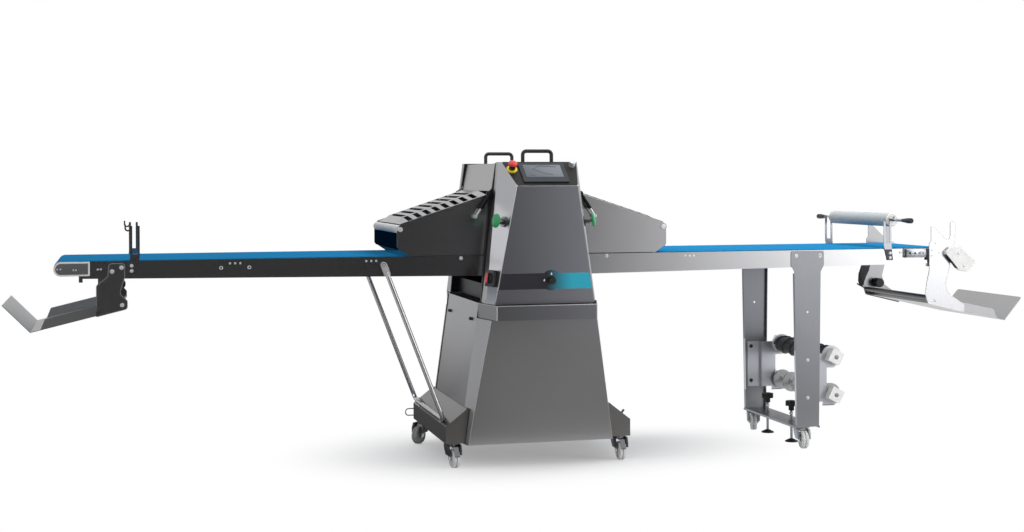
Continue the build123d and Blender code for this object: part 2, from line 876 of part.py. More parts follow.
def nose_block(side, inner, cheek_low):
    """Rear block at the outer end of a rail: carries the nose roller's shaft and covers the belt's edge."""
    end = (nose_block_high - nose_block_low) / 2 - 0.2
    cheek = [
        (inner, cheek_low), (inner, nose_block_high),
        (nose_boss_inner, nose_block_high), (nose_boss_inner, cheek_low),
    ]
    boss = [
        (nose_boss_inner, nose_block_low), (nose_boss_inner, nose_block_high),
        (nose_tip, nose_block_high), (nose_tip, nose_block_low),
    ]
    outer = table_half + nose_plate
    block = slab_y(flip(cheek, side), table_half, outer, [3, 3, 0, 0])
    block += slab_y(flip(boss, side), belt_half + 1, outer, [0, 0, end, end])
    block = chamfer(block.faces().sort_by(Axis.Y)[-1].outer_wire().edges(), 1.5)
    return block - rod_y(side * nose_out, belt_axis_z, belt_shaft_r + shaft_clearance, belt_half, table_half)


def pin_fork(side):
    """Rear fork plate: a foot on the rail, a deep slot for a reel and a hook for the rolling pin."""
    inner = fork_out - fork_slot / 2
    outer = fork_out + fork_slot / 2
    body = [
        (fork_out - fork_foot_inner, fork_foot_low), (fork_out + fork_foot_outer, fork_foot_low),
        (outer + fork_prong, fork_foot_high), (outer + fork_prong, fork_high),
        (outer, fork_high), (outer, fork_slot_low), (inner, fork_slot_low), (inner, fork_high),
        (inner - fork_prong, fork_high), (inner - fork_prong, fork_foot_high),
    ]
    y0 = table_half
    y1 = table_half + fork_sheet
    fork = slab_y(flip(body, side), y0, y1)
    ring_r = hook_r + hook_wall
    ring = Circle(ring_r) - Circle(hook_r) - Pos(0, ring_r) * Rectangle(2 * ring_r, 2 * ring_r)
    front = Plane((side * hook_out, y0, hook_z), x_dir=(1, 0, 0), z_dir=(0, -1, 0))
    fork += extrude(front * ring, amount=fork_sheet, dir=(0, 1, 0))
    tip = [(hook_out + hook_r, hook_z), (hook_out + ring_r, hook_z),
           (hook_out + ring_r, hook_high), (hook_out + hook_r, hook_high)]
    return fork + slab_y(flip(tip, side), y0, y1)


def pin_rod():
    """Rod of the rolling pin with a tapered grip on each end."""
    rod_shape = rod_y(hook_out, pin_z, pin_rod_r, -pin_rod_half - 20, pin_rod_half + 20)
    length = pin_handle_length
    profile = [(0, 0), (pin_rod_r + 1, 0), (pin_handle_r, length * 0.6),
               (pin_handle_r, length - 4), (pin_handle_r - 4, length), (0, length)]
    grip = revolve(Plane.XZ * outline(profile), Axis.Z)
    rear = Plane((hook_out, pin_rod_half, pin_z), z_dir=(0, 1, 0)) * grip
    return rod_shape + rear + mirror(rear, about=Plane.XZ)


def pin_barrel():
    """Hollow barrel of the rolling pin, free to turn on the rod."""
    barrel = rod_y(hook_out, pin_z, pin_barrel_r, -pin_barrel_half, pin_barrel_half)
    barrel = fillet(barrel.edges().filter_by(GeomType.CIRCLE), 5)
    end = pin_barrel_half + 1
    return barrel - rod_y(hook_out, pin_z, pin_rod_r + shaft_clearance, -end, end)


# Catch trays

def catch_tray(side, path, corner):
    """Sheet tray: sloped floor, raised flap at its outer end, low walls at the sides and inner end."""
    tray = slab_y(flip(strip(path, tray_sheet), side), -tray_half, tray_half)
    if corner:
        flap_end = tray.faces().sort_by(Axis.X)[-1 if side > 0 else 0]
        tray = fillet(flap_end.edges().filter_by(Axis.Y, reverse=True), corner)
    (in_out, in_z), (corner_out, corner_z) = path[0], path[1]
    length = math.hypot(corner_out - in_out, corner_z - in_z)
    along = ((corner_out - in_out) / length, (corner_z - in_z) / length)
    up = (-along[1], along[0])

    def on_floor(distance, height):
        return (in_out + along[0] * distance + up[0] * height, in_z + along[1] * distance + up[1] * height)

    start = tray_wall_start
    wall = [
        on_floor(start, 0.5), on_floor(length - 40, 0.5),
        on_floor(length - 68, tray_wall), on_floor(start, tray_wall),
    ]
    side_wall = slab_y(flip(wall, side), tray_half - tray_sheet, tray_half)
    tray += side_wall + mirror(side_wall, about=Plane.XZ)
    end_wall = [
        on_floor(start, 0.5), on_floor(start + tray_sheet, 0.5),
        on_floor(start + tray_sheet, tray_wall), on_floor(start, tray_wall),
    ]
    return tray + slab_y(flip(end_wall, side), -tray_half, tray_half)


# Bracket plates of the trays, by distance beyond the belt's end and below its top, with corner radii
left_plate = [
    (-213, -11), (-279, -11), (-279, -68), (-259, -134), (-289, -164),
    (-289, -198), (-157, -230), (-165, -180), (-165, -100), (-211, -64),
]
left_plate_radii = [14, 14, 20, 18, 8, 14, 10, 14, 14, 20]
right_plate = [
    (-99, 98), (-84, 96), (-22, 38), (-8, 34), (0, 56), (0, 121), (28, 121), (22, 20), (7, -10),
    (-4, -94), (-24, -165), (-13, -210), (27, -238), (72, -267), (70, -304), (-115, -260), (-130, -210),
    (-122, -161), (-109, -104), (-109, 19), (-99, 33),
]
right_plate_radii = [2, 2, 8, 6, 8, 12, 12, 20, 14, 40, 20, 20, 15, 3, 3, 14, 14, 30, 30, 4, 4]
guide_block_outline = [(-11, 2), (37, 8), (123, -69), (74, -114), (33, -105), (-37, -24)]


def tray_bracket(points, radii, side, inner_y, spacer, tube):
    """Both bracket plates of a catch tray, their spacers to its walls and the cross tube between them."""
    plate = slab_y(flip(from_nose(points), side), inner_y, inner_y + bracket_sheet, radii)
    (spacer_out, spacer_z), (tube_out, tube_z) = from_nose([spacer, tube])
    plate += rod_y(side * spacer_out, spacer_z, spacer_r, tray_half, inner_y + 1)
    tube_bar = rod_y(side * tube_out, tube_z, tray_tube_r, -inner_y, inner_y)
    return plate + mirror(plate, about=Plane.XZ) + tube_bar


def guide_block():
    """Rear plastic guide block on the outer face of a right bracket plate."""
    face = table_half + nose_plate + bracket_sheet
    block = slab_y(from_nose(guide_block_outline), face, face + guide_block_depth, 12)
    return chamfer(block.faces().sort_by(Axis.Y)[-1].edges(), 2)


def clamp_knob(side, place, inner_y):
    """Rear clamp knob on the inner face of a bracket plate."""
    (out, z), = from_nose([place])
    knob = rod_y(side * out, z, clamp_knob_r, inner_y - clamp_knob_length, inner_y)
    return fillet(knob.edges().filter_by(GeomType.CIRCLE).sort_by(Axis.Y)[0], 4)


# Guards

def guard_slope():
    """The plane across the right guard's slope at its inner end, with local X to the rear."""
    (x0, z0), (x1, z1) = guard_slope_inner, guard_slope_outer
    return Plane((x0, 0, z0), x_dir=(0, 1, 0), z_dir=(x1 - x0, 0, z1 - z0))


def guard_profile(rise):
    """Cross-section of a guard's top sheet: a flat with a leaning strip down to each cheek."""
    half = guard_outer_y - guard_sheet
    flat = half - guard_hip_width
    return outline(strip([(-half, 0), (-flat, rise), (flat, rise), (half, 0)], -guard_sheet))


def guard_top():
    """Slotted top of the right guard, which slopes down to the edge roller at its outer end."""
    plane = guard_slope()
    length = math.dist(guard_slope_inner, guard_slope_outer)
    bend = length - guard_front_run
    top = extrude(plane * guard_profile(guard_hip_rise), amount=bend)
    bend_face = plane.offset(bend) * guard_profile(guard_hip_rise)
    tip_face = plane.offset(length) * guard_profile(guard_front_rise)
    top += loft([bend_face, tip_face], ruled=True)
    half = guard_outer_y - guard_sheet
    hip_slot = guard_hip_width - 2 * guard_slot_edge
    flat_slot = 2 * (half - guard_hip_width - guard_slot_bridge)
    spans = [(-half + guard_slot_edge, hip_slot), (half - guard_slot_edge - hip_slot, hip_slot),
             (-flat_slot / 2, flat_slot)]
    for row in range(guard_slot_rows):
        distance = guard_slot_first + row * guard_slot_pitch - guard_slot_wide / 2
        for start, depth in spans:
            middle = plane.from_local_coords((start + depth / 2, guard_hip_rise / 2, distance))
            slot = Plane(middle, x_dir=plane.x_dir, z_dir=plane.z_dir) * Rectangle(depth, 3 * guard_hip_rise)
            top -= extrude(slot, amount=guard_slot_wide)
    return top


def guard(side):
    """Hinged guard: two cheek plates and the slotted top between them."""
    cheek = [
        (guard_tip - 55, guard_low), (guard_tip, guard_low + 37), (guard_tip, guard_low + 104),
        (guard_tip - 15, guard_slope_outer[1] + 2), guard_slope_inner,
        (guard_pivot_out + 8, guard_pivot_z + 15), (guard_pivot_out - 13, guard_pivot_z + 8),
        (guard_pivot_out - 9, guard_pivot_z - 14), (guard_pivot_out + 51, guard_low),
    ]
    radii = [6, 6, 6, 6, 0, 6, 6, 4, 4]
    inner_y = guard_outer_y - guard_sheet
    plate = slab_y(flip(cheek, side), inner_y, guard_outer_y, radii)
    hole_r = guard_pin_r + shaft_clearance
    plate -= rod_y(side * guard_pivot_out, guard_pivot_z, hole_r, inner_y - 1, guard_outer_y + 1)
    top = guard_top()
    return [*both_sides(plate), top if side > 0 else mirror(top, about=Plane.YZ)]


def guard_edge(side):
    """Roller along the guard's outer edge, with its end caps."""
    end = guard_outer_y - guard_sheet - running_gap
    roller = rod_y(side * guard_roller_out, guard_roller_z, guard_roller_r, -end, end)
    cap = rod_y(side * guard_roller_out, guard_roller_z, guard_cap_r, guard_outer_y, guard_outer_y + 5)
    cap = fillet(cap.edges().filter_by(GeomType.CIRCLE).sort_by(Axis.Y)[-1], 2)
    return [roller] + both_sides(cap)


def guard_apron(side):
    """Dark apron that hangs below the guard's edge roller."""
    inner = apron_out - apron_sheet / 2
    outer = apron_out + apron_sheet / 2
    under_roller = math.sqrt(guard_roller_r ** 2 - (outer - guard_roller_out) ** 2)
    half = guard_outer_y - guard_sheet - 0.1
    return box(side * inner, side * outer, -half, half, apron_low, guard_roller_z - under_roller - 2)


def gas_direction(side):
    """Unit direction from a gas spring's upper pin to its lower end, at rest."""
    vector = Vector(side * (gas_end[0] - gas_top[0]), 0, gas_end[1] - gas_top[1])
    return vector.normalized()


def gas_cylinder(side):
    """Rear gas spring cylinder with its upper eye."""
    top = Vector(side * gas_top[0], gas_y, gas_top[1])
    along = gas_direction(side)
    body = rod(tuple(top), tuple(top + along * gas_body_length), gas_body_r)
    body += rod_y(top.X, top.Z, gas_body_r + 1, gas_y - gas_body_r, gas_y + gas_body_r)
    body -= rod_y(top.X, top.Z, gas_pin_r + shaft_clearance, gas_y - 20, gas_y + 20)
    bore_start = tuple(top + along * 14)
    bore_end = tuple(top + along * (gas_body_length + 1))
    return body - rod(bore_start, bore_end, gas_rod_r + shaft_clearance)


def gas_rod(side):
    """Rear gas spring rod with the end stud that meets the guard's cheek."""
    top = Vector(side * gas_top[0], gas_y, gas_top[1])
    end = Vector(side * gas_end[0], gas_y, gas_end[1])
    along = gas_direction(side)
    piece = rod(tuple(top + along * 24), tuple(end), gas_rod_r)
    piece += rod_y(end.X, end.Z, gas_stud_r, guard_outer_y + 0.4, gas_y + 6)
    return piece


# Strut

def strut_frame():
    """The plane of the strut: local X along the machine's depth, local Y from the pivots to the foot."""
    down = Vector(strut_foot[0] - strut_pivot[0], 0, strut_foot[1] - strut_pivot[1])
    return Plane((strut_pivot[0], 0, strut_pivot[1]), x_dir=(0, 1, 0), z_dir=Vector(0, 1, 0).cross(down))


def support_strut():
    """U-shaped tube with flattened ends that pivot on the left table's rails."""
    plane = strut_frame()
    length = math.hypot(strut_foot[0] - strut_pivot[0], strut_foot[1] - strut_pivot[1])
    start = strut_ear_end
    local = [(-strut_y, start), (-strut_y, length), (strut_y, length), (strut_y, start)]
    path = FilletPolyline(*[plane.from_local_coords((x, y, 0)) for x, y in local], radius=strut_bend)
    begin = plane.from_local_coords((-strut_y, start, 0))
    tube = sweep(Plane(begin, z_dir=plane.y_dir) * Circle(strut_r), path=path)
    flat = Pos(strut_y, start / 2 + 6) * Rectangle(strut_ear, start + 30)
    ear = extrude(plane * flat, amount=strut_ear_half, both=True)
    ear = fillet(ear.edges().filter_by(Axis.Y), 12)
    hole = rod_y(strut_pivot[0], strut_pivot[1], strut_pin_r + shaft_clearance, strut_y - 20, strut_y + 20)
    tube += ear - hole
    return tube + mirror(ear - hole, about=Plane.XZ)


def strut_bolt():
    """Rear pivot bolt of the strut: spacer, shank and head."""
    near = strut_y - strut_ear / 2 - running_gap
    far = strut_y + strut_ear / 2 + running_gap
    x, z = strut_pivot
    bolt = rod_y(x, z, 9, table_half, near) + rod_y(x, z, strut_pin_r, near - 1, far + 1)
    return bolt + rod_y(x, z, 10, far, far + 5)


def strut_clip():
    """Rear clip on the left plinth that holds the strut's foot, open on the outer side."""
    x, z = strut_foot
    slope = math.degrees(math.atan2(plinth_high - plinth_edge_z, plinth_out - service_out(plinth_high)))
    y = strut_y - strut_bend - clip_width
    lift = 13.0
    block = Box(clip_block, clip_width, clip_block + lift)
    block = Pos(x, y, z) * Rot(0, -slope, 0) * Pos(2, 0, -lift / 2) * block
    down = (strut_foot[0] - strut_pivot[0], strut_foot[1] - strut_pivot[1])
    swing = math.degrees(math.atan2(-down[0], -down[1]))
    slot_r = strut_r + running_gap
    slot = rod_y(x, z, slot_r, y - clip_width, y + clip_width)
    slot += Pos(x, y, z) * Rot(0, -swing, 0) * Pos(-20, 0, 0) * Box(40, 2 * clip_width, 2 * slot_r)
    top_edge = (-plinth_out, 0, plinth_edge_z)
    top_inner = (-service_out(plinth_high) - plinth_clear, 0, plinth_high)
    block = trim(block, top_edge, top_inner, (-plinth_out, 10, plinth_edge_z), (x, y, z + 30))
    clip = block - slot
    return trim(clip, (-plinth_out, 0, 0), (-plinth_out, 10, 0), (-plinth_out, 0, 10), (0, 0, 0))


# Leg stand

def leg():
    """Rear leg of the stand: a tapered channel with ears that bolt to the rail."""
    points = [
        (leg_out - leg_ear_half, rail_top - 2), (leg_out + leg_ear_half, rail_top - 2),
        (leg_out + leg_ear_half, leg_ear_low), (leg_out + leg_high_half, leg_high),
        (leg_out + leg_low_half, foot_plate_high), (leg_out - leg_low_half, foot_plate_high),
        (leg_out - leg_high_half, leg_high), (leg_out - leg_ear_half, leg_ear_low),
    ]
    shape = slab_y(points, table_half, table_half + leg_sheet, [10, 10, 12, 12, 0, 0, 12, 12])
    for side in (-1, 1):
        high = leg_high - 8
        taper = (leg_high_half - leg_low_half) / (leg_high - foot_plate_high)
        top_half = leg_high_half - 8 * taper - 0.4
        flange = [
            (leg_out + side * top_half, high), (leg_out + side * (leg_low_half - 0.4), foot_plate_high),
            (leg_out + side * (leg_low_half - 0.4 - leg_sheet), foot_plate_high),
            (leg_out + side * (top_half - leg_sheet), high),
        ]
        shape += slab_y(flange, table_half - leg_flange, table_half + 1)
    return shape - rod_y(leg_out, leg_hole_z, leg_hole_r, table_half - 1, table_half + leg_sheet + 1)


def foot_plate():
    """Plate that joins the legs, with turned-down edges and the threaded bosses of the levelling feet."""
    low = foot_plate_low
    left = leg_out - foot_plate_half
    right = leg_out + foot_plate_half
    half = table_half + leg_sheet
    plate = box(left, right, -half, half, low, foot_plate_high)
    for x in (left, right - 3):
        plate += box(x, x + 3, -half, half, low - foot_plate_lip, low)
    for y in (-foot_half, foot_half):
        plate += rod((foot_out, y, low - 6), (foot_out, y, foot_plate_high + 8), foot_boss_r)
        hole_r = foot_spindle_r + shaft_clearance
        plate -= rod((foot_out, y, low - 10), (foot_out, y, foot_plate_high + 10), hole_r)
    return plate


def levelling_foot(y):
    """Threaded spindle with a pad below and a star knob above."""
    spindle = rod((foot_out, y, foot_pad_low + 4), (foot_out, y, foot_knob_low + 6), foot_spindle_r)
    pad_profile = [(0, foot_pad_low), (foot_pad_r, foot_pad_low), (foot_pad_r, foot_pad_low + 4),
                   (foot_spindle_r + 4, foot_pad_low + 14), (0, foot_pad_low + 14)]
    pad = Pos(foot_out, y, 0) * revolve(Plane.XZ * outline(pad_profile), Axis.Z)
    head_low = foot_knob_high - 24
    knob = rod((foot_out, y, foot_knob_low), (foot_out, y, foot_knob_high), 13)
    head = rod((foot_out, y, head_low), (foot_out, y, foot_knob_high - 2), foot_knob_r - 4)
    for index in range(foot_knob_lobes):
        turn = math.tau * index / foot_knob_lobes
        x_lobe = foot_out + (foot_knob_r - 7) * math.cos(turn)
        y_lobe = y + (foot_knob_r - 7) * math.sin(turn)
        head += rod((x_lobe, y_lobe, head_low), (x_lobe, y_lobe, foot_knob_high - 2), 7)
    return spindle + pad + knob + head


# Cutters

def cutter_plane(y, z):
    """The plane across a cutter's axis, with local X along the way its blocks lift out."""
    tilt = math.radians(cutter_tilt)
    return Plane((cutter_out, y, z), x_dir=(math.cos(tilt), 0, math.sin(tilt)), z_dir=(0, -1, 0))


def cutter_holder():
    """Rear holder plate: a flange on the leg, a step round its edge, and a notched arm for each cutter."""
    path = [
        (leg_out - 0.65 * holder_flange, table_half), (leg_out + 0.35 * holder_flange, table_half),
        (leg_out + holder_flange / 2, holder_outer_y), (holder_reach, holder_outer_y),
    ]
    plate = slab_z(strip(path, -holder_sheet), holder_low, holder_high)
    for z in (cutter_upper_z, cutter_lower_z):
        arm = [(holder_reach - 20, z - 52), (cutter_out + 6, z - 52), (cutter_out + 40, z - 26),
               (cutter_out + 40, z + 4), (holder_reach - 20, z + 13)]
        plate += slab_y(arm, holder_inner_y, holder_outer_y, [0, 8, 8, 8, 0])
    wide = cutter_block + 2 * running_gap
    reach = 120.0
    for z in (cutter_upper_z, cutter_lower_z):
        notch = Pos((reach - wide) / 2, 0) * Rectangle(reach, wide)
        plate -= extrude(cutter_plane(holder_inner_y - 1, z) * notch, amount=holder_sheet + 2, dir=(0, 1, 0))
    return plate


def cutter_blocks(z):
    """The two end blocks of a cutter: a square that rests in the holder's notch and a larger head."""
    face = cutter_plane(cutter_block_start, z) * RectangleRounded(cutter_block, cutter_block, 3)
    block = extrude(face, amount=cutter_block_length, dir=(0, 1, 0))
    block_end = cutter_block_start + cutter_block_length
    head_start = holder_outer_y + running_gap
    head_face = cutter_plane(head_start, z) * RectangleRounded(cutter_head, cutter_head, 4)
    block += extrude(head_face, amount=block_end - head_start, dir=(0, 1, 0))
    bore_end = block_end - cutter_block_wall
    block -= rod_y(cutter_out, z, cutter_shaft_r + shaft_clearance, cutter_block_start - 1, bore_end)
    return both_sides(block)


def cutter_shaft(z):
    """Shaft of a cutter, between its end blocks."""
    end = cutter_block_start + cutter_block_length - cutter_block_wall - 1
    return rod_y(cutter_out, z, cutter_shaft_r, -end, end)


def helical_blade(start_turn):
    """One blade of the cutting roller, wound along its core."""
    sections = []
    for step in range(blade_steps + 1):
        share = step / blade_steps
        turn = math.radians(start_turn + blade_twist * share)
        y = -blade_half + 2 * blade_half * share
        outward = (math.cos(turn), 0, math.sin(turn))
        plane = Plane((cutter_out, y, cutter_upper_z), x_dir=outward, z_dir=(0, 1, 0))
        middle = (blade_core_r - 2 + blade_r) / 2
        sections.append(plane * (Pos(middle, 0) * Rectangle(blade_r - blade_core_r + 2, blade_sheet)))
    return loft(sections, ruled=True)


def blade_cutter():
    """Cutting roller: a core with helical blades between two end discs."""
    z = cutter_upper_z
    shape = rod_y(cutter_out, z, blade_core_r, -blade_half, blade_half)
    for index in range(blade_count):
        shape += helical_blade(360 * index / blade_count)
    for y in (-blade_half - cutter_disc_sheet, blade_half):
        shape += rod_y(cutter_out, z, cutter_disc_r, y, y + cutter_disc_sheet)
    return shape + cutter_shaft(z)


def disc_cutter():
    """Slitting roller: round discs spaced along a shaft."""
    shape = cutter_shaft(cutter_lower_z)
    for index in range(disc_count):
        y = -disc_half + 2 * disc_half * index / (disc_count - 1)
        half = cutter_disc_sheet / 2
        shape += rod_y(cutter_out, cutter_lower_z, cutter_disc_r, y - half, y + half)
        shape += rod_y(cutter_out, cutter_lower_z, disc_hub_r, y - 2 * half, y + 2 * half)
    return shape


# Casters

def caster_top(x, y, height):
    """Fixed mounting plate and kingpin of a caster."""
    plate = box(x - caster_plate_half, x + caster_plate_half, y - caster_plate_half, y + caster_plate_half,
                height - caster_plate, height)
    low = height - caster_plate - caster_bearing - 2
    return plate + rod((x, y, low), (x, y, height - 1), kingpin_r)


def caster_fork(x, y, height, heading, braked):
    """Swivelling fork of a caster, with axle and brake. Heading is the way the wheel trails."""
    top = height - caster_plate - 0.2
    low = top - caster_bearing
    crown = 4.0
    crown_out = caster_trail * 0.6
    half = wheel_width / 2 + caster_leg + 2
    fork = rod((0, 0, low), (0, 0, top), caster_bearing_r)
    fork += box(-caster_bearing_r, crown_out, -half, half, low, low + crown)
    side_leg = [
        (-caster_bearing_r, low + crown), (crown_out, low + crown), (caster_trail + 9, wheel_r + 6),
        (caster_trail + 9, wheel_r - 9), (caster_trail - 9, wheel_r - 9),
    ]
    for y0 in (-half, half - caster_leg):
        fork += slab_y(side_leg, y0, y0 + caster_leg, [0, 0, 6, 6, 6])
    if braked:
        tip = caster_trail + wheel_r + 6
        pedal = [(crown_out - 4, low + crown), (caster_trail + 20, low + crown - 1), (tip, wheel_r + 16),
                 (tip, wheel_r + 11), (caster_trail + 18, low), (crown_out - 4, low)]
        fork += slab_y(pedal, -11, 11)
    fork -= rod((0, 0, low - 1), (0, 0, top + 1), kingpin_r + shaft_clearance)
    fork += rod_y(caster_trail, wheel_r, caster_axle_r, -half - 2, half + 2)
    return Pos(x, y, 0) * Rot(0, 0, heading) * fork


def caster_wheel(x, y, heading):
    """Wheel of a caster with a rounded tread, dished faces and a bore for the axle."""
    half = wheel_width / 2
    bore = caster_axle_r + shaft_clearance
    dish = 3.0
    hub = wheel_hub_r
    rim = wheel_r - 12
    one_side = [(bore, half), (hub, half), (hub, half - dish), (rim, half - dish), (rim + 2, half),
                (wheel_r - 4, half), (wheel_r, half - 5)]
    profile = one_side + [(r, -z) for r, z in one_side[::-1]]
    wheel = revolve(Plane.XZ * outline(profile), Axis.Z)
    wheel = Plane((caster_trail, 0, wheel_r), z_dir=(0, 1, 0)) * wheel
    return Pos(x, y, 0) * Rot(0, 0, heading) * wheel


# Controls

def console_plane():
    """The plane of the sloped console: local Y runs up the slope from the front edge."""
    up = Vector(0, housing_front_high_y - console_back_y, housing_high - housing_front_high_z)
    across = Vector(1, 0, 0)
    return Plane((0, -housing_front_high_y, housing_front_high_z), x_dir=across, z_dir=across.cross(up))


def lifted(plane, x, y, height):
    """A parallel plane at a place on a plane and a height above it."""
    return Plane(plane.from_local_coords((x, y, height)), x_dir=plane.x_dir, z_dir=plane.z_dir)


def on_plane(plane, x, y, radius, low, high):
    """A round boss standing on a plane."""
    return extrude(lifted(plane, x, y, low) * Circle(radius), amount=high - low)


def console_length():
    """Length of the console's slope."""
    return math.hypot(housing_front_high_y - console_back_y, housing_high - housing_front_high_z)


def console_panel():
    """Black panel that covers the console's slope."""
    length = console_length()
    low_half = housing_front_high_half - console_margin
    high_half = console_back_half - console_margin
    points = [(-low_half, console_margin), (low_half, console_margin),
              (high_half, length - console_margin), (-high_half, length - console_margin)]
    return extrude(console_plane() * outline(points, 5), amount=console_sheet)


def touch_screen():
    """Touch screen unit on the console panel."""
    base = lifted(console_plane(), 0, console_length() / 2, console_sheet)
    unit = extrude(base * RectangleRounded(screen_width, screen_height, 4), amount=screen_depth)
    return fillet(unit.faces().sort_by(Axis.Z)[-1].edges(), 1.2)


def flank_plane(side, y, z):
    """The plane of the upper housing's flared front flank at a place, facing out."""
    x = housing_width_at(y, z)
    per_y = (housing_width_at(y - 10, z) - x) / 10
    per_z = (housing_width_at(y, z + 10) - x) / 10
    return Plane((side * x, -y, z), x_dir=(side * per_y, 1, 0), z_dir=(side, -per_y, -per_z))


def palm_plane(side):
    """The plane of a flared flank at a palm button, facing out."""
    return flank_plane(side, palm_y, palm_z)


def front_plane():
    """The plane of the front panel at the selector knob, facing out."""
    lean = (housing_front_high_y - housing_front_low_y) / (housing_front_high_z - housing_low)
    y = housing_front_low_y + lean * (knob_z - housing_low)
    return Plane((knob_x, -y, knob_z), x_dir=(1, 0, 0), z_dir=(0, -1, -lean))


def switch_plane():
    """The plane of the left flared flank at the main switch, facing out."""
    return flank_plane(-1, switch_y, switch_z)


def control_bases():
    """Fixed parts of the controls: stop base, socket cap, palm button sleeves and the main switch's body."""
    console = console_plane()
    bore = button_stem_r + shaft_clearance
    base_top = console_sheet + stop_base
    stop_top = base_top + stop_barrel
    stop = on_plane(console, stop_x, stop_up, stop_base_r, console_sheet, base_top)
    stop += on_plane(console, stop_x, stop_up, stop_barrel_r, base_top, stop_top)
    stop -= on_plane(console, stop_x, stop_up, bore, base_top + 2, stop_top + 1)
    pieces = [stop, on_plane(console, cap_x, cap_up, cap_r, console_sheet, console_sheet + cap_height)]
    sleeve_top = palm_base + palm_sleeve
    for side in (-1, 1):
        plane = palm_plane(side)
        sleeve = on_plane(plane, 0, 0, palm_base_r, 0, palm_base)
        sleeve += on_plane(plane, 0, 0, palm_sleeve_r, palm_base, sleeve_top)
        pieces.append(sleeve - on_plane(plane, 0, 0, bore, palm_base - 2, sleeve_top + 1))
    plane = switch_plane()
    body = extrude(plane * RectangleRounded(switch_width, switch_height, 5), amount=switch_depth)
    pieces.append(body - on_plane(plane, 0, 0, bore, switch_depth - 12, switch_depth + 1))
    return pieces


def mushroom(plane, x, y, head_low, head_r, height):
    """A push button: a stem and a domed head."""
    rim = height * 0.45
    profile = [(0, head_low), (head_r - 4, head_low), (head_r, head_low + 4), (head_r, head_low + rim)]
    steps = 5
    for index in range(1, steps):
        turn = math.pi / 2 * index / steps
        profile.append((head_r * math.cos(turn), head_low + rim + (height - rim) * math.sin(turn)))
    profile.append((0, head_low + height))
    head = lifted(plane, x, y, 0) * revolve(Plane.XZ * outline(profile), Axis.Z)
    return head + on_plane(plane, x, y, button_stem_r, head_low - button_stem + palm_travel, head_low + 2)


def selector_knob():
    """Selector knob on the front band, with a raised grip."""
    plane = front_plane()
    knob = on_plane(plane, 0, 0, knob_r, running_gap, knob_flange)
    return knob + on_plane(plane, 0, 0, knob_r - 3, knob_flange, knob_length)


def main_switch():
    """Rotary handle of the main switch."""
    plane = switch_plane()
    knob = on_plane(plane, 0, 0, switch_knob_r, switch_depth + running_gap, switch_depth + 6)
    grip = RectangleRounded(switch_grip, 2 * switch_knob_r - 2, 4)
    knob += extrude(lifted(plane, 0, 0, switch_depth + 5) * grip, amount=switch_knob_length - 5)
    return knob + on_plane(plane, 0, 0, button_stem_r, switch_depth - 10, switch_depth + 2)


# Casters of the base and of the leg stand: place, height of the mounting face, heading and brake
casters = {
    "front_left": (-base_caster_out, -base_caster_y, base_low, -85.0, True),
    "front_right": (base_caster_out, -base_caster_y, base_low, -92.0, True),
    "rear_left": (-base_caster_out, base_caster_y, base_low, -135.0, False),
    "rear_right": (base_caster_out, base_caster_y, base_low, -60.0, False),
    "leg_front": (leg_caster_out, -leg_caster_y, foot_plate_low, -98.0, False),
    "leg_rear": (leg_caster_out, leg_caster_y, foot_plate_low, -110.0, False),
}


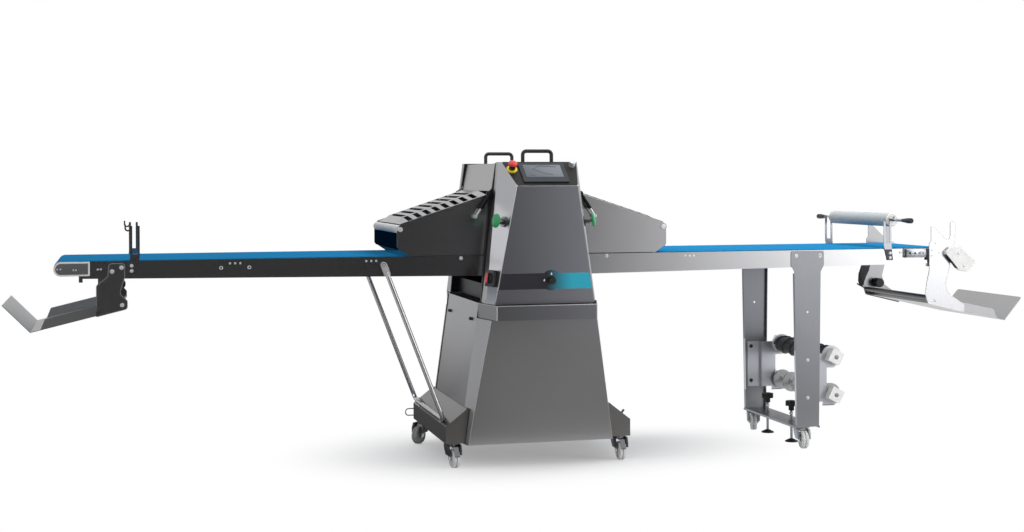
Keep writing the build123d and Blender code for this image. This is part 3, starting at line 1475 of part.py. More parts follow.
def build_nodes():
    """Every sub-part by name, each as a list of solids about the middle of the head."""
    console = console_plane()
    stop_head = console_sheet + stop_base + stop_barrel + stop_travel + button_spare
    palm_head = palm_base + palm_sleeve + palm_travel + button_spare
    right_face = table_half + nose_plate
    plates = {name: caster_top(x, y, height) for name, (x, y, height, heading, braked) in casters.items()}
    base_plates = [plate for name, plate in plates.items() if not name.startswith("leg")]
    leg_plates = [plate for name, plate in plates.items() if name.startswith("leg")]
    nodes = {
        "base_frame": base_frame() + base_plates,
        "side_frame": [side_frame(), lower_scraper(), crumb_tray()],
        "upper_housings": both_sides(upper_housing()),
        "lower_housings": both_sides(lower_panel()) + both_sides(collar()),
        "service_panels": [service_panel(-1), service_panel(1)],
        "head_cover": [head_cover()],
        "lift_handles": both_sides(lift_handle()),
        "console_unit": [console_panel(), touch_screen()],
        "control_bases": control_bases(),
        "drive_motor": [drive_motor()],
        "motor_pulley": [motor_pulley()],
        "lower_roller": [lower_roller()],
        "upper_roller": [upper_roller()],
        "roller_carriage": [roller_carriage()],
        "table_frames": [table_frame(-1), table_frame(1)],
        "belts": [belt(-1), belt(1), drive_belt()],
        "nose_blocks": both_sides(nose_block(-1, nose_inner_left, nose_block_low))
        + both_sides(nose_block(1, nose_inner_right, adjuster_low)),
        "strut_fittings": both_sides(strut_bolt()) + both_sides(strut_clip()),
        "support_strut": [support_strut()],
        "pin_forks": both_sides(pin_fork(-1)) + both_sides(pin_fork(1)),
        "pin_rod": [pin_rod()],
        "pin_barrel": [pin_barrel()],
        "tray_brackets": [
            tray_bracket(left_plate, left_plate_radii, -1, table_half, left_spacer, left_tube),
            tray_bracket(right_plate, right_plate_radii, 1, right_face, right_spacer, right_tube),
        ],
        "tray_fittings": both_sides(guide_block())
        + both_sides(clamp_knob(-1, left_knob, table_half))
        + both_sides(clamp_knob(1, right_knob, right_face)),
        "catch_trays": [
            catch_tray(-1, from_nose(tray_left), 0), catch_tray(1, from_nose(tray_right), tray_corner),
        ],
        "leg_stand": both_sides(leg()) + [foot_plate()] + both_sides(cutter_holder()) + leg_plates,
        "cutter_blocks": cutter_blocks(cutter_upper_z) + cutter_blocks(cutter_lower_z),
        "blade_cutter": [blade_cutter()],
        "disc_cutter": [disc_cutter()],
        "front_levelling_foot": [levelling_foot(-foot_half)],
        "rear_levelling_foot": [levelling_foot(foot_half)],
        "stop_button": [mushroom(console, stop_x, stop_up, stop_head, stop_r, stop_height)],
        "left_palm_button": [mushroom(palm_plane(-1), 0, 0, palm_head, palm_r, palm_height)],
        "right_palm_button": [mushroom(palm_plane(1), 0, 0, palm_head, palm_r, palm_height)],
        "selector_knob": [selector_knob()],
        "main_switch": [main_switch()],
    }
    for name, side in (("left", -1), ("right", 1)):
        drive_half = table_half - running_gap
        nodes[name + "_drive_roller"] = [belt_roller(side * drive_out, drive_shaft_r, drive_half)]
        nodes[name + "_nose_roller"] = [belt_roller(side * nose_out, belt_shaft_r, table_half - 4)]
        nodes[name + "_guard"] = guard(side)
        nodes[name + "_guard_edge"] = guard_edge(side) + [guard_apron(side)]
        nodes[name + "_gas_cylinders"] = both_sides(gas_cylinder(side))
        nodes[name + "_gas_rods"] = both_sides(gas_rod(side))
    for name, (x, y, height, heading, braked) in casters.items():
        nodes[name + "_fork"] = [caster_fork(x, y, height, heading, braked)]
        nodes[name + "_wheel"] = [caster_wheel(x, y, heading)]
    return nodes


def main():
    """Write each sub-part with the origin at the middle of the footprint, on the floor."""
    os.makedirs("parts", exist_ok=True)
    nodes = build_nodes()
    shift = Pos(-(left_reach + right_reach) / 2, 0, 0)
    for name, solids in nodes.items():
        moved = [shift * solid for solid in solids]
        export_step(moved[0] if len(moved) == 1 else Compound(children=moved), "parts/" + name + ".step")


if __name__ == "__main__":
    main()
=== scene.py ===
import json
import math

import bmesh
import bpy
from mathutils import Matrix, Vector

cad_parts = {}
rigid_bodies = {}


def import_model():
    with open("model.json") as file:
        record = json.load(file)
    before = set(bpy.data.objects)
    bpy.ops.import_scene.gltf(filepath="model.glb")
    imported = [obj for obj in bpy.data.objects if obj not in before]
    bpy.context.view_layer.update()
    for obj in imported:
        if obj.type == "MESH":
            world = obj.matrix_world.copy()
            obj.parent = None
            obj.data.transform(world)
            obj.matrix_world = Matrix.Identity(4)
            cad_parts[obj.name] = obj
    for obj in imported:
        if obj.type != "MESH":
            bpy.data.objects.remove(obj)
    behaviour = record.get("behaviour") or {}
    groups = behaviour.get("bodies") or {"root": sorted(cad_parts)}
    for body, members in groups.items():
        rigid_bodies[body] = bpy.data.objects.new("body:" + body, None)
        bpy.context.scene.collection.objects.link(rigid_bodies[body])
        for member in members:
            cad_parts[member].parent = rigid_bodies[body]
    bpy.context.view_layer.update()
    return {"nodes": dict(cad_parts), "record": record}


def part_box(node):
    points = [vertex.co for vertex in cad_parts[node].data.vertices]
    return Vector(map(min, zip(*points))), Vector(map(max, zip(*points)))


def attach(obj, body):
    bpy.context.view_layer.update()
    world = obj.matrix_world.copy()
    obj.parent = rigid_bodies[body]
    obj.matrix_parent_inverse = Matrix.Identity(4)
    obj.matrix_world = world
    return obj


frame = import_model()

# Looks of an automatic dough sheeter. Sizes are in millimetres about the middle of the head, on the
# floor, and point() turns them into the frame's metres. Y runs to the rear.
MM = 0.001
JOINTS = frame["record"]["behaviour"]["joints"]
roller_low, roller_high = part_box("lower_roller")
HEAD_X = (roller_low.x + roller_high.x) / 2

# Faces that carry small pieces, as distances from the middle along Y
HOLDER_FACE = 297.0
CHEEK_FACE = 298.5
RAIL_FACE = 300.0
LEG_FACE = 303.0
BRACKET_INNER_FACE = 303.9
PLATE_FACE = 304.0
NOSE_FACE = 306.0
NOSE_COVER_FACE = 307.0
RIGHT_PLATE_FACE = 310.0
STRUT_BOLT_FACE = 321.3
BLOCK_FACE = 326.0
GUIDE_FACE = 332.0

# The console's slope and the front and lower panels, as Y and Z of their lower and upper edges
CONSOLE_LOW = (-515.0, 1195.0)
CONSOLE_HIGH = (-374.0, 1298.0)
FRONT_LOW = (-470.0, 712.0)
FRONT_LOW_HALF = 217.0
FRONT_HIGH_HALF = 134.0
PANEL_LOW = (-397.0, 99.0)
PANEL_HIGH = (-460.0, 630.0)

# Slope of the service panels, and the X and Z of their upper edges
SERVICE_SLOPE = 0.139
SERVICE_HIGH = (254.0, 694.0)

# The cutting rollers' place along the machine and their heights
CUTTER_OUT = 1415.0
BLADE_Z = 410.0
DISC_Z = 237.0

# Collars of the holes in the left rail, along the machine, and their height
EYES_OUT = (-1340, -1225)
EYES_Z = 863


def at_x(x):
    """A distance from the head's middle in millimetres, as the frame's X."""
    return HEAD_X + x * MM


def point(x, y, z):
    """A place in millimetres about the head's middle, in the frame's metres."""
    return Vector((at_x(x), y * MM, z * MM))


def joint_row(name):
    """The record's row of a joint."""
    return next(row for row in JOINTS if row["name"] == name)


# Materials

def start_material(name):
    """A new node material with its shader."""
    material = bpy.data.materials.new(name)
    material.use_nodes = True
    return material, material.node_tree, material.node_tree.nodes["Principled BSDF"]


def add_node(tree, kind, **settings):
    """A shader node with settings, and numbers for its inputs by name."""
    node = tree.nodes.new(kind)
    for key, value in settings.items():
        if hasattr(node, key):
            setattr(node, key, value)
        else:
            node.inputs[key.replace("_", " ")].default_value = value
    return node


def place(tree, scale=(1, 1, 1)):
    """The place on the object, in metres times a scale for each axis."""
    coordinates = add_node(tree, "ShaderNodeTexCoord")
    mapping = add_node(tree, "ShaderNodeMapping", Scale=scale)
    tree.links.new(coordinates.outputs["Object"], mapping.inputs["Vector"])
    return mapping.outputs["Vector"]


def noise(tree, vector, scale, detail=3.0):
    """Noise over a place."""
    node = add_node(tree, "ShaderNodeTexNoise", Scale=scale, Detail=detail)
    tree.links.new(vector, node.inputs["Vector"])
    return node.outputs["Fac"]


def remap(tree, value, low, high, from_low=0.0, from_high=1.0):
    """A value spread between two others."""
    node = add_node(tree, "ShaderNodeMapRange", From_Min=from_low, From_Max=from_high,
                    To_Min=low, To_Max=high)
    tree.links.new(value, node.inputs["Value"])
    return node.outputs["Result"]


def connect(tree, value, socket):
    """Give a socket a colour, a number or another socket's output."""
    if isinstance(value, (tuple, list)):
        socket.default_value = (*value[:3], 1.0)
    elif isinstance(value, (int, float)):
        socket.default_value = value
    else:
        tree.links.new(value, socket)


def blend(tree, factor, first, second, kind="RGBA"):
    """A colour or number between two others."""
    node = add_node(tree, "ShaderNodeMix", data_type=kind)
    tree.links.new(factor, node.inputs["Factor"])
    wanted = "RGBA" if kind == "RGBA" else "VALUE"
    inputs = [socket for socket in node.inputs
              if socket.type == wanted and socket.name in "AB" and socket.enabled]
    for socket, value in zip(inputs, (first, second)):
        connect(tree, value, socket)
    return [socket for socket in node.outputs if socket.type == wanted and socket.enabled][0]


def maths(tree, operation, first, second=None):
    """One operation on one or two values."""
    node = add_node(tree, "ShaderNodeMath", operation=operation)
    connect(tree, first, node.inputs[0])
    if second is not None:
        connect(tree, second, node.inputs[1])
    return node.outputs[0]


def bump(tree, shader, height, strength, distance):
    """Surface relief from a height."""
    node = add_node(tree, "ShaderNodeBump", Strength=strength, Distance=distance)
    tree.links.new(height, node.inputs["Height"])
    tree.links.new(node.outputs["Normal"], shader.inputs["Normal"])


def shade(colour, factor):
    """A colour made darker or lighter."""
    return tuple(min(1.0, channel * factor) for channel in colour[:3])


def measure(tree, axis):
    """A place's distance along X, Y, Z, A for |Y| or a direction, or its distance from a line along Y."""
    coordinates = add_node(tree, "ShaderNodeTexCoord")
    if isinstance(axis, tuple) and axis[0] == "round":
        shift = add_node(tree, "ShaderNodeVectorMath", operation="SUBTRACT")
        tree.links.new(coordinates.outputs["Object"], shift.inputs[0])
        shift.inputs[1].default_value = (axis[1], 0, axis[2])
        flat = add_node(tree, "ShaderNodeVectorMath", operation="MULTIPLY")
        tree.links.new(shift.outputs[0], flat.inputs[0])
        flat.inputs[1].default_value = (1, 0, 1)
        size = add_node(tree, "ShaderNodeVectorMath", operation="LENGTH")
        tree.links.new(flat.outputs[0], size.inputs[0])
        return size.outputs["Value"]
    if isinstance(axis, tuple):
        along = add_node(tree, "ShaderNodeVectorMath", operation="DOT_PRODUCT")
        tree.links.new(coordinates.outputs["Object"], along.inputs[0])
        along.inputs[1].default_value = axis
        return along.outputs["Value"]
    split = add_node(tree, "ShaderNodeSeparateXYZ")
    tree.links.new(coordinates.outputs["Object"], split.inputs[0])
    if axis == "A":
        return maths(tree, "ABSOLUTE", split.outputs["Y"])
    return split.outputs[axis]


def region(tree, conditions):
    """1 where every condition holds. A condition is an axis, a sign and a limit in metres."""
    result = None
    for axis, sign, limit in conditions:
        test = maths(tree, "GREATER_THAN" if sign == ">" else "LESS_THAN", measure(tree, axis), limit)
        result = test if result is None else maths(tree, "MULTIPLY", result, test)
    return result


def brushed_metal(name, colour, grain, roughness=0.32, contrast=0.07, toned=(), relief=0.03,
                  spread=0.02, cloud=0.94):
    """Brushed steel: fine streaks along one axis, faint clouds of handling, and regions in another tone,
    which mostly stand for painted light and shade.
    """
    material, tree, shader = start_material(name)
    across, along = 90.0, 3.0
    scale = tuple(along if axis == grain else across for axis in "XYZ")
    streaks = noise(tree, place(tree, scale), 4.0, 4.0)
    clouds = noise(tree, place(tree), 5.0)
    colours = blend(tree, streaks, shade(colour, 1 - contrast), shade(colour, 1 + contrast))
    clouded = blend(tree, clouds, shade(colour, cloud), colours)
    for conditions, factor in toned:
        clouded = blend(tree, region(tree, conditions), clouded, shade(colour, factor))
    rough = remap(tree, streaks, roughness - spread, roughness + spread)
    tree.links.new(clouded, shader.inputs["Base Color"])
    tree.links.new(rough, shader.inputs["Roughness"])
    shader.inputs["Metallic"].default_value = 1.0
    streak_depth = 0.0004
    bump(tree, shader, streaks, relief, streak_depth)
    return material


def patched(name, base, patches=(), fine=700.0, relief=0.06, coat=0.0, specular=0.5):
    """A moulded or plated part in one or more finishes, each a colour, a metal share and a roughness; some
    patches are painted light and shade.
    """
    material, tree, shader = start_material(name)
    grain = noise(tree, place(tree), fine, 2.0)
    broad = noise(tree, place(tree), 14.0)
    darker, lighter = 0.92, 1.07
    smoother, rougher = 0.05, 0.07

    def tones(finish):
        return blend(tree, broad, shade(finish[0], darker), shade(finish[0], lighter))

    def roughs(finish):
        return remap(tree, grain, finish[2] - smoother, finish[2] + rougher)

    colour, metal, rough = tones(base), base[1], roughs(base)
    for conditions, finish in patches:
        mask = region(tree, conditions)
        colour = blend(tree, mask, colour, tones(finish))
        if metal != finish[1]:
            metal = blend(tree, mask, metal, finish[1], "FLOAT")
        rough = blend(tree, mask, rough, roughs(finish), "FLOAT")
    connect(tree, colour, shader.inputs["Base Color"])
    connect(tree, metal, shader.inputs["Metallic"])
    connect(tree, rough, shader.inputs["Roughness"])
    shader.inputs["Coat Weight"].default_value = coat
    shader.inputs["Specular IOR Level"].default_value = specular
    grain_depth = 0.0003
    bump(tree, shader, grain, relief, grain_depth)
    return material


def belt_cloth(name, colour):
    """Coated belt: a fine weave under a satin surface. The drive belt in the head is black rubber."""
    material, tree, shader = start_material(name)
    threads = 700.0
    vector = place(tree)
    waves = []
    for direction in "XY":
        wave = add_node(tree, "ShaderNodeTexWave", wave_type="BANDS", bands_direction=direction,
                        Scale=threads / math.tau)
        tree.links.new(vector, wave.inputs["Vector"])
        waves.append(wave.outputs["Fac"])
    weave = maths(tree, "MULTIPLY", *waves)
    flour = noise(tree, place(tree, (0.6, 2.5, 1)), 3.0, 5.0)
    dusted = blend(tree, remap(tree, flour, 0.0, 0.3), colour, shade(colour, 1.3))
    woven = blend(tree, remap(tree, weave, 0.0, 0.25), dusted, shade(colour, 0.8))
    drive_belt_half, drive_belt_black = 62, (0.010, 0.010, 0.011)
    inside = region(tree, [("X", ">", at_x(-drive_belt_half)), ("X", "<", at_x(drive_belt_half))])
    tree.links.new(blend(tree, inside, woven, drive_belt_black), shader.inputs["Base Color"])
    tree.links.new(remap(tree, flour, 0.62, 0.78), shader.inputs["Roughness"])
    shader.inputs["Specular IOR Level"].default_value = 0.0
    bump(tree, shader, weave, 0.15, 0.0003)
    return material


def graded_band(name):
    """Printed band on the front panel: charcoal that turns to blue-green on the right of the knob."""
    material, tree, shader = start_material(name)
    turn_start, turn_end = at_x(5), at_x(112)
    across = remap(tree, measure(tree, "X"), 0.0, 1.0, turn_start, turn_end)
    grain = noise(tree, place(tree), 500.0, 2.0)
    darker = blend(tree, across, (0.024, 0.023, 0.029), (0.020, 0.330, 0.450))
    lighter = blend(tree, across, (0.028, 0.027, 0.034), (0.024, 0.360, 0.490))
    tree.links.new(blend(tree, grain, darker, lighter), shader.inputs["Base Color"])
    tree.links.new(remap(tree, grain, 0.40, 0.55), shader.inputs["Roughness"])
    shader.inputs["Specular IOR Level"].default_value = 0.2
    return material


def threaded(name, low, high):
    """A levelling foot: black pad and knob, zinc spindle with a thread between two heights."""
    ends_black = [([("Z", ">", high)], BLACK), ([("Z", "<", low)], BLACK)]
    material = patched(name, SPINDLE, ends_black, specular=0.25)
    tree = material.node_tree
    thread = add_node(tree, "ShaderNodeTexWave", wave_type="BANDS", bands_direction="Z", Scale=160.0)
    tree.links.new(place(tree), thread.inputs["Vector"])
    steel = region(tree, [("Z", ">", low), ("Z", "<", high)])
    height = maths(tree, "MULTIPLY", thread.outputs["Fac"], steel)
    bump(tree, tree.nodes["Principled BSDF"], height, 0.5, 0.0008)
    return material


# Finishes: colour, metal share and roughness. Some stand for painted light and shade, as said where they are
# used.
STEEL = (0.395, 0.397, 0.412)
BLACK = ((0.012, 0.012, 0.013), 0.0, 0.45)
RUBBER = ((0.016, 0.016, 0.017), 0.0, 0.6)
MATT_BLACK = ((0.009, 0.009, 0.010), 0.0, 0.5)
# Painted shade: the side frame's part inside the head, which lies in shadow.
PAINTED_SHADE_STEEL = ((0.05, 0.05, 0.055), 1.0, 0.4)
WHITE = ((0.74, 0.74, 0.73), 0.0, 0.38)
ICON_WHITE = ((0.8, 0.8, 0.8), 0.0, 0.5)
LIGHT_NYLON = ((0.64, 0.64, 0.64), 0.0, 0.42)
# Painted shade: the rear left wheel, which stands in shadow.
PAINTED_SHADE_NYLON = ((0.30, 0.30, 0.295), 0.0, 0.42)
SEAM = ((0.15, 0.11, 0.075), 0.0, 0.6)
ZINC = ((0.50, 0.52, 0.55), 1.0, 0.30)
FORK_ZINC = ((0.21, 0.22, 0.235), 1.0, 0.34)
SPINDLE = ((0.24, 0.262, 0.28), 1.0, 0.34)
INSERT = ((0.36, 0.36, 0.38), 1.0, 0.3)
BRIGHT = ((0.62, 0.62, 0.63), 1.0, 0.18)
POLISHED = ((0.42, 0.42, 0.43), 1.0, 0.24)
CHROME = ((0.60, 0.60, 0.61), 0.85, 0.20)
# Painted light: a paler, less metallic chrome for the strut's flattened top end.
PAINTED_LIGHT_CHROME = ((0.50, 0.50, 0.51), 0.35, 0.30)
SCREW = ((0.74, 0.74, 0.75), 0.5, 0.28)
CAST = ((0.10, 0.11, 0.12), 0.0, 0.6)
YELLOW = ((0.72, 0.56, 0.02), 0.0, 0.4)
RED = ((0.60, 0.025, 0.025), 0.0, 0.32)
GREEN = ((0.008, 0.27, 0.085), 0.0, 0.4)
NAVY = ((0.0006, 0.008, 0.019), 0.0, 0.75)
SATIN = ((0.60, 0.60, 0.60), 0.2, 0.50)
BRACKET = ((0.50, 0.50, 0.505), 1.0, 0.36)
SLEEVE = ((0.22, 0.22, 0.23), 1.0, 0.36)
SOCKET_CAP = ((0.78, 0.78, 0.80), 0.6, 0.2)
CONSOLE_BLACK = ((0.011, 0.010, 0.011), 0.0, 0.42)
BEZEL = ((0.026, 0.030, 0.036), 0.0, 0.38)
GLASS = ((0.120, 0.135, 0.155), 0.0, 0.30)
SCREEN_INK = ((0.035, 0.038, 0.044), 0.0, 0.5)
NOSE_GREY = ((0.070, 0.073, 0.079), 0.0, 0.5)
# Painted highlights of folded edges: bright on the console, dimmer on the cabinet's collar.
LIP = ((0.80, 0.80, 0.81), 0.3, 0.3)
COLLAR_LIP = ((0.46, 0.46, 0.46), 0.3, 0.35)
# Painted highlight on the bracket plates' rims, dim on the left and bright on the right.
DIM_RIM_HIGHLIGHT = ((0.20, 0.195, 0.185), 0.0, 0.45)
BRIGHT_RIM_HIGHLIGHT = ((0.66, 0.66, 0.67), 0.0, 0.45)
PLUG = ((0.44, 0.44, 0.45), 0.0, 0.4)
DARK_CHEEK = ((0.040, 0.042, 0.046), 0.3, 0.42)
PALE_CHEEK = ((0.30, 0.33, 0.36), 0.6, 0.35)
BARREL = ((0.33, 0.352, 0.362), 0.0, 0.5)
BLADE_BLACK = ((0.040, 0.040, 0.043), 0.0, 0.55)
DISC_WHITE = ((0.44, 0.44, 0.436), 0.0, 0.38)
EDGE_ROLLER = ((0.54, 0.54, 0.54), 0.0, 0.55)
EDGE_CAP = ((0.78, 0.78, 0.79), 0.5, 0.22)

# Directions up the console and out of it, and its distance along the second
slope_length = math.dist(CONSOLE_LOW, CONSOLE_HIGH)
slope_y, slope_z = [(high - low) / slope_length for low, high in zip(CONSOLE_LOW, CONSOLE_HIGH)]
CONSOLE_UP = (0.0, slope_y, slope_z)
CONSOLE_OUT = (0.0, -slope_z, slope_y)
console_level = (CONSOLE_OUT[1] * CONSOLE_LOW[0] + CONSOLE_OUT[2] * CONSOLE_LOW[1]) * MM

# Conditions that part one finish from another, and mark regions of painted light and shade, in metres
LEFT = ("X", "<", at_x(0))
RIGHT = ("X", ">", at_x(0))
LEG_END = ("X", ">", at_x(800))
REAR = ("Y", ">", 0)
HEAD = ("Z", ">", 0.70)
CABINET = ("Z", "<", 0.70)
COLLAR = ("Z", ">", 0.6315)
HOLDERS = [("A", "<", 0.2975), ("Z", ">", 0.19), ("Z", "<", 0.44)]
FOOT_PLATE = [("A", "<", 0.2975), ("Z", "<", 0.1)]
TRAY_FRONT_WALL = ("Y", "<", -0.27)
BRACKET_INSIDE = ("A", "<", 0.30)
FORK_FOOT = ("Z", "<", 0.895)
STRUT_EYE = ("Z", ">", 0.812)
ON_CONSOLE = ("Z", ">", 1.15)
STOP_BASE = [("X", "<", at_x(-108)), ("X", ">", at_x(-160)), ON_CONSOLE,
             (CONSOLE_OUT, "<", console_level + 0.0095)]
CAP = [("X", ">", at_x(100)), ON_CONSOLE]
SLEEVES = [("Z", ">", 1.0), ("Z", "<", 1.12)]
SCREEN_BEZEL = (CONSOLE_OUT, ">", console_level + 0.004)
GUIDE_BLOCK = ("A", ">", 0.3085)
PIN_HANDLE = ("A", ">", 0.3925)
BARREL_END = ("A", ">", 0.2925)
BLADE_END = ("A", ">", 0.2665)
BLADE_SHAFT = (("round", at_x(CUTTER_OUT), BLADE_Z * MM), "<", 0.0078)
DISC_SHAFT = (("round", at_x(CUTTER_OUT), DISC_Z * MM), "<", 0.0168)
ROLLER_END = ("A", ">", 0.2972)
APRON = ("Z", "<", 0.9955)

rail_steel = brushed_metal("rail_steel", (0.52, 0.52, 0.525), "X", 0.20, 0.05)
guard_steel = brushed_metal("guard_steel", (0.54, 0.54, 0.545), "X", 0.22, 0.05)
cover_steel = brushed_metal("cover_steel", (0.486, 0.486, 0.49), "Y")
steel_z = brushed_metal("steel_grain_z", STEEL, "Z", 0.28, 0.04, (), 0.006, 0.003)
# The cabinet's collar is darker as painted shade.
lower_steel = brushed_metal("lower_steel", STEEL, "Z", 0.30, 0.07, [([COLLAR], 0.74)], 0.008, 0.003)
base_steel = brushed_metal("base_steel", (0.245, 0.243, 0.24), "Z")
# Painted light and shade on the leg stand: the rear leg and the foot plate darker, the holders' inner plates
# lighter.
leg_steel = brushed_metal("leg_steel", (0.32, 0.326, 0.348), "Z", 0.33, 0.14,
                          [([REAR], 0.76), (HOLDERS, 1.8), (FOOT_PLATE, 0.74)], cloud=0.86)
# The left tray's front wall is darker as painted shade.
tray_steel = brushed_metal("tray_steel", (0.50, 0.50, 0.505), "Y", 0.40, 0.07,
                           [([LEFT, TRAY_FRONT_WALL], 0.60)])
# Painted shade on the brackets: the left ones darker, the right rear ones darker, and the right ones' inner
# parts near black.
bracket_steel = brushed_metal("bracket_steel", (0.62, 0.62, 0.63), "Z", 0.28, 0.07,
                              [([LEFT], 0.55), ([RIGHT, REAR], 0.50), ([RIGHT, BRACKET_INSIDE], 0.16)])
fork_steel = brushed_metal("fork_steel", (0.36, 0.37, 0.40), "Z", 0.26, 0.12,
                           [([FORK_FOOT, RIGHT], 0.14)])
# The strut's flattened top end is paler and less metallic as painted light.
strut_chrome = patched("strut_chrome", CHROME, [([STRUT_EYE], PAINTED_LIGHT_CHROME)], 90.0, 0.01)
polished = patched("polished_steel", POLISHED, (), 90.0, 0.01)
zinc = patched("zinc_plate", ZINC, (), 90.0, 0.02)
fork_zinc = patched("fork_zinc", FORK_ZINC, (), 90.0, 0.02)
cast = patched("cast_housing", CAST, (), 500.0)
black = patched("black_plastic", BLACK)
rubber = patched("black_rubber", RUBBER)
matt_black = patched("matt_black", MATT_BLACK, specular=0.12)
white = patched("white_plastic", WHITE)
red = patched("stop_red", RED, (), 900.0, 0.04, 0.3)
green = patched("palm_green", GREEN, (), 900.0, 0.04, 0.15)
grey_cover = patched("nose_cover_grey", NOSE_GREY)
screw_metal = patched("screw_metal", SCREW, (), 200.0, 0.03)
# Painted highlight for the folded edges of the console and the collar, dimmer on the cabinet.
fold_highlight = patched("fold_highlight", LIP, [([CABINET], COLLAR_LIP)], 200.0, 0.02)
# Painted highlight round the bracket plates, dimmer on the left as painted shade.
painted_rim_highlight = patched("bracket_rim_highlights", DIM_RIM_HIGHLIGHT, [([RIGHT], BRIGHT_RIM_HIGHLIGHT)])
# The right-hand plugs are white as painted light; the left ones keep the plugs' grey.
plug_colour_and_light = patched("rail_plugs", PLUG, [([RIGHT], WHITE)])
cheek_finish = patched("caster_cheeks", DARK_CHEEK, [([LEG_END], PALE_CHEEK)])
insert_metal = patched("insert_metal", INSERT, (), 200.0, 0.03)
display = patched("display_glass", GLASS, (), 40.0, 0.0, 0.1, 0.25)
screen_ink = patched("screen_ink", SCREEN_INK)
icon_white = patched("icon_white", ICON_WHITE)
blue_belt = belt_cloth("belt_blue", (0.014, 0.148, 0.315))
band = graded_band("front_band")
controls = patched("control_bases", BLACK, [(STOP_BASE, YELLOW), (CAP, SOCKET_CAP), (SLEEVES, SLEEVE)])
console_finish = patched("console_unit", CONSOLE_BLACK, [([SCREEN_BEZEL], BEZEL)], specular=0.3)
knob_or_block = patched("tray_fittings", BLACK, [([GUIDE_BLOCK], WHITE)])
pin_finish = patched("pin_rod", BRIGHT, [([PIN_HANDLE], BLACK)], 300.0)
barrel_finish = patched("pin_barrel", BARREL, [([BARREL_END], WHITE)], 500.0)
nose_finish = patched("nose_blocks", BRACKET, [([LEFT], SATIN)], 400.0, 0.03)
# The side frame's part in the head is darker as painted shade.
side_frame_and_shade = patched("side_frame", (STEEL, 1.0, 0.36), [([HEAD], PAINTED_SHADE_STEEL)], 400.0)
blade_finish = patched("blade_cutter", BLADE_BLACK, [([BLADE_END], WHITE), ([BLADE_SHAFT], ZINC)])
disc_finish = patched("disc_cutter", DISC_WHITE, [([DISC_SHAFT], ZINC)])


def outer_edge(node, joint, depth):
    """The condition for a knob's outermost part, by its joint's axis and a depth in metres."""
    axis = Vector(joint_row(joint)["axis"])
    level = max(axis.dot(vertex.co) for vertex in frame["nodes"][node].data.vertices)
    return [(tuple(axis), ">", level - depth)]


def wheel_finish(name):
    """A caster's nylon wheel with a seam round the middle of its tread. The rear left wheel is darker, as
    painted shade.
    """
    joint = joint_row(name + "_roll")
    axis = Vector(joint["axis"]).normalized()
    level = axis.dot(Vector(joint["pos_m"]))
    # The rear left wheel gets a darker nylon as painted shade.
    colour = PAINTED_SHADE_NYLON if name == "rear_left" else LIGHT_NYLON
    seam_half = 0.0015
    seam = [(tuple(axis), ">", level - seam_half), (tuple(axis), "<", level + seam_half)]
    return patched(name + "_wheel", colour, [(seam, SEAM)], 600.0)


SWITCH_BAR_DEPTH = 0.003
switch_bar = outer_edge("main_switch", "main_switch_turn", SWITCH_BAR_DEPTH)
switch_finish = patched("main_switch", BLACK, [(switch_bar, RED)])

looks = {
    "base_frame": base_steel, "side_frame": side_frame_and_shade, "upper_housings": steel_z,
    "lower_housings": lower_steel, "service_panels": steel_z, "head_cover": cover_steel,
    "lift_handles": rubber, "console_unit": console_finish, "control_bases": controls,
    "drive_motor": cast, "motor_pulley": zinc, "lower_roller": polished, "upper_roller": polished,
    "roller_carriage": zinc, "table_frames": rail_steel, "belts": blue_belt, "nose_blocks": nose_finish,
    "strut_fittings": screw_metal, "support_strut": strut_chrome, "pin_forks": fork_steel,
    "pin_rod": pin_finish, "pin_barrel": barrel_finish, "tray_brackets": bracket_steel,
    "tray_fittings": knob_or_block, "catch_trays": tray_steel, "leg_stand": leg_steel,
    "cutter_blocks": white, "blade_cutter": blade_finish, "disc_cutter": disc_finish,
    "stop_button": red, "left_palm_button": green, "right_palm_button": green,
    "selector_knob": black, "main_switch": switch_finish,
}
for side in ("left", "right"):
    looks[side + "_drive_roller"] = zinc
    looks[side + "_nose_roller"] = zinc
    looks[side + "_guard"] = guard_steel
    looks[side + "_guard_edge"] = patched(side + "_guard_edge", EDGE_ROLLER, [
        ([ROLLER_END], EDGE_CAP), ([APRON], NAVY)], specular=0.0)
    looks[side + "_gas_cylinders"] = matt_black
    looks[side + "_gas_rods"] = screw_metal
THREAD_LOW, THREAD_HIGH = 0.0155, 0.1455
for end in ("front", "rear"):
    looks[end + "_levelling_foot"] = threaded(end + "_levelling_foot", THREAD_LOW, THREAD_HIGH)
for caster in ("front_left", "front_right", "rear_left", "rear_right", "leg_front", "leg_rear"):
    looks[caster + "_fork"] = fork_zinc
    looks[caster + "_wheel"] = wheel_finish(caster)
for name, material in looks.items():
    mesh = frame["nodes"][name].data
    mesh.materials.clear()
    mesh.materials.append(material)


# Small pieces

def facing(origin, normal, up=(0, 0, 1)):
    """A frame at a place, with local Z along a normal and local Y up."""
    z = Vector(normal).normalized()
    y = Vector(up) - z * z.dot(Vector(up))
    y.normalize()
    x = y.cross(z)
    turn = Matrix((x, y, z)).transposed().to_4x4()
    return Matrix.Translation(origin) @ turn


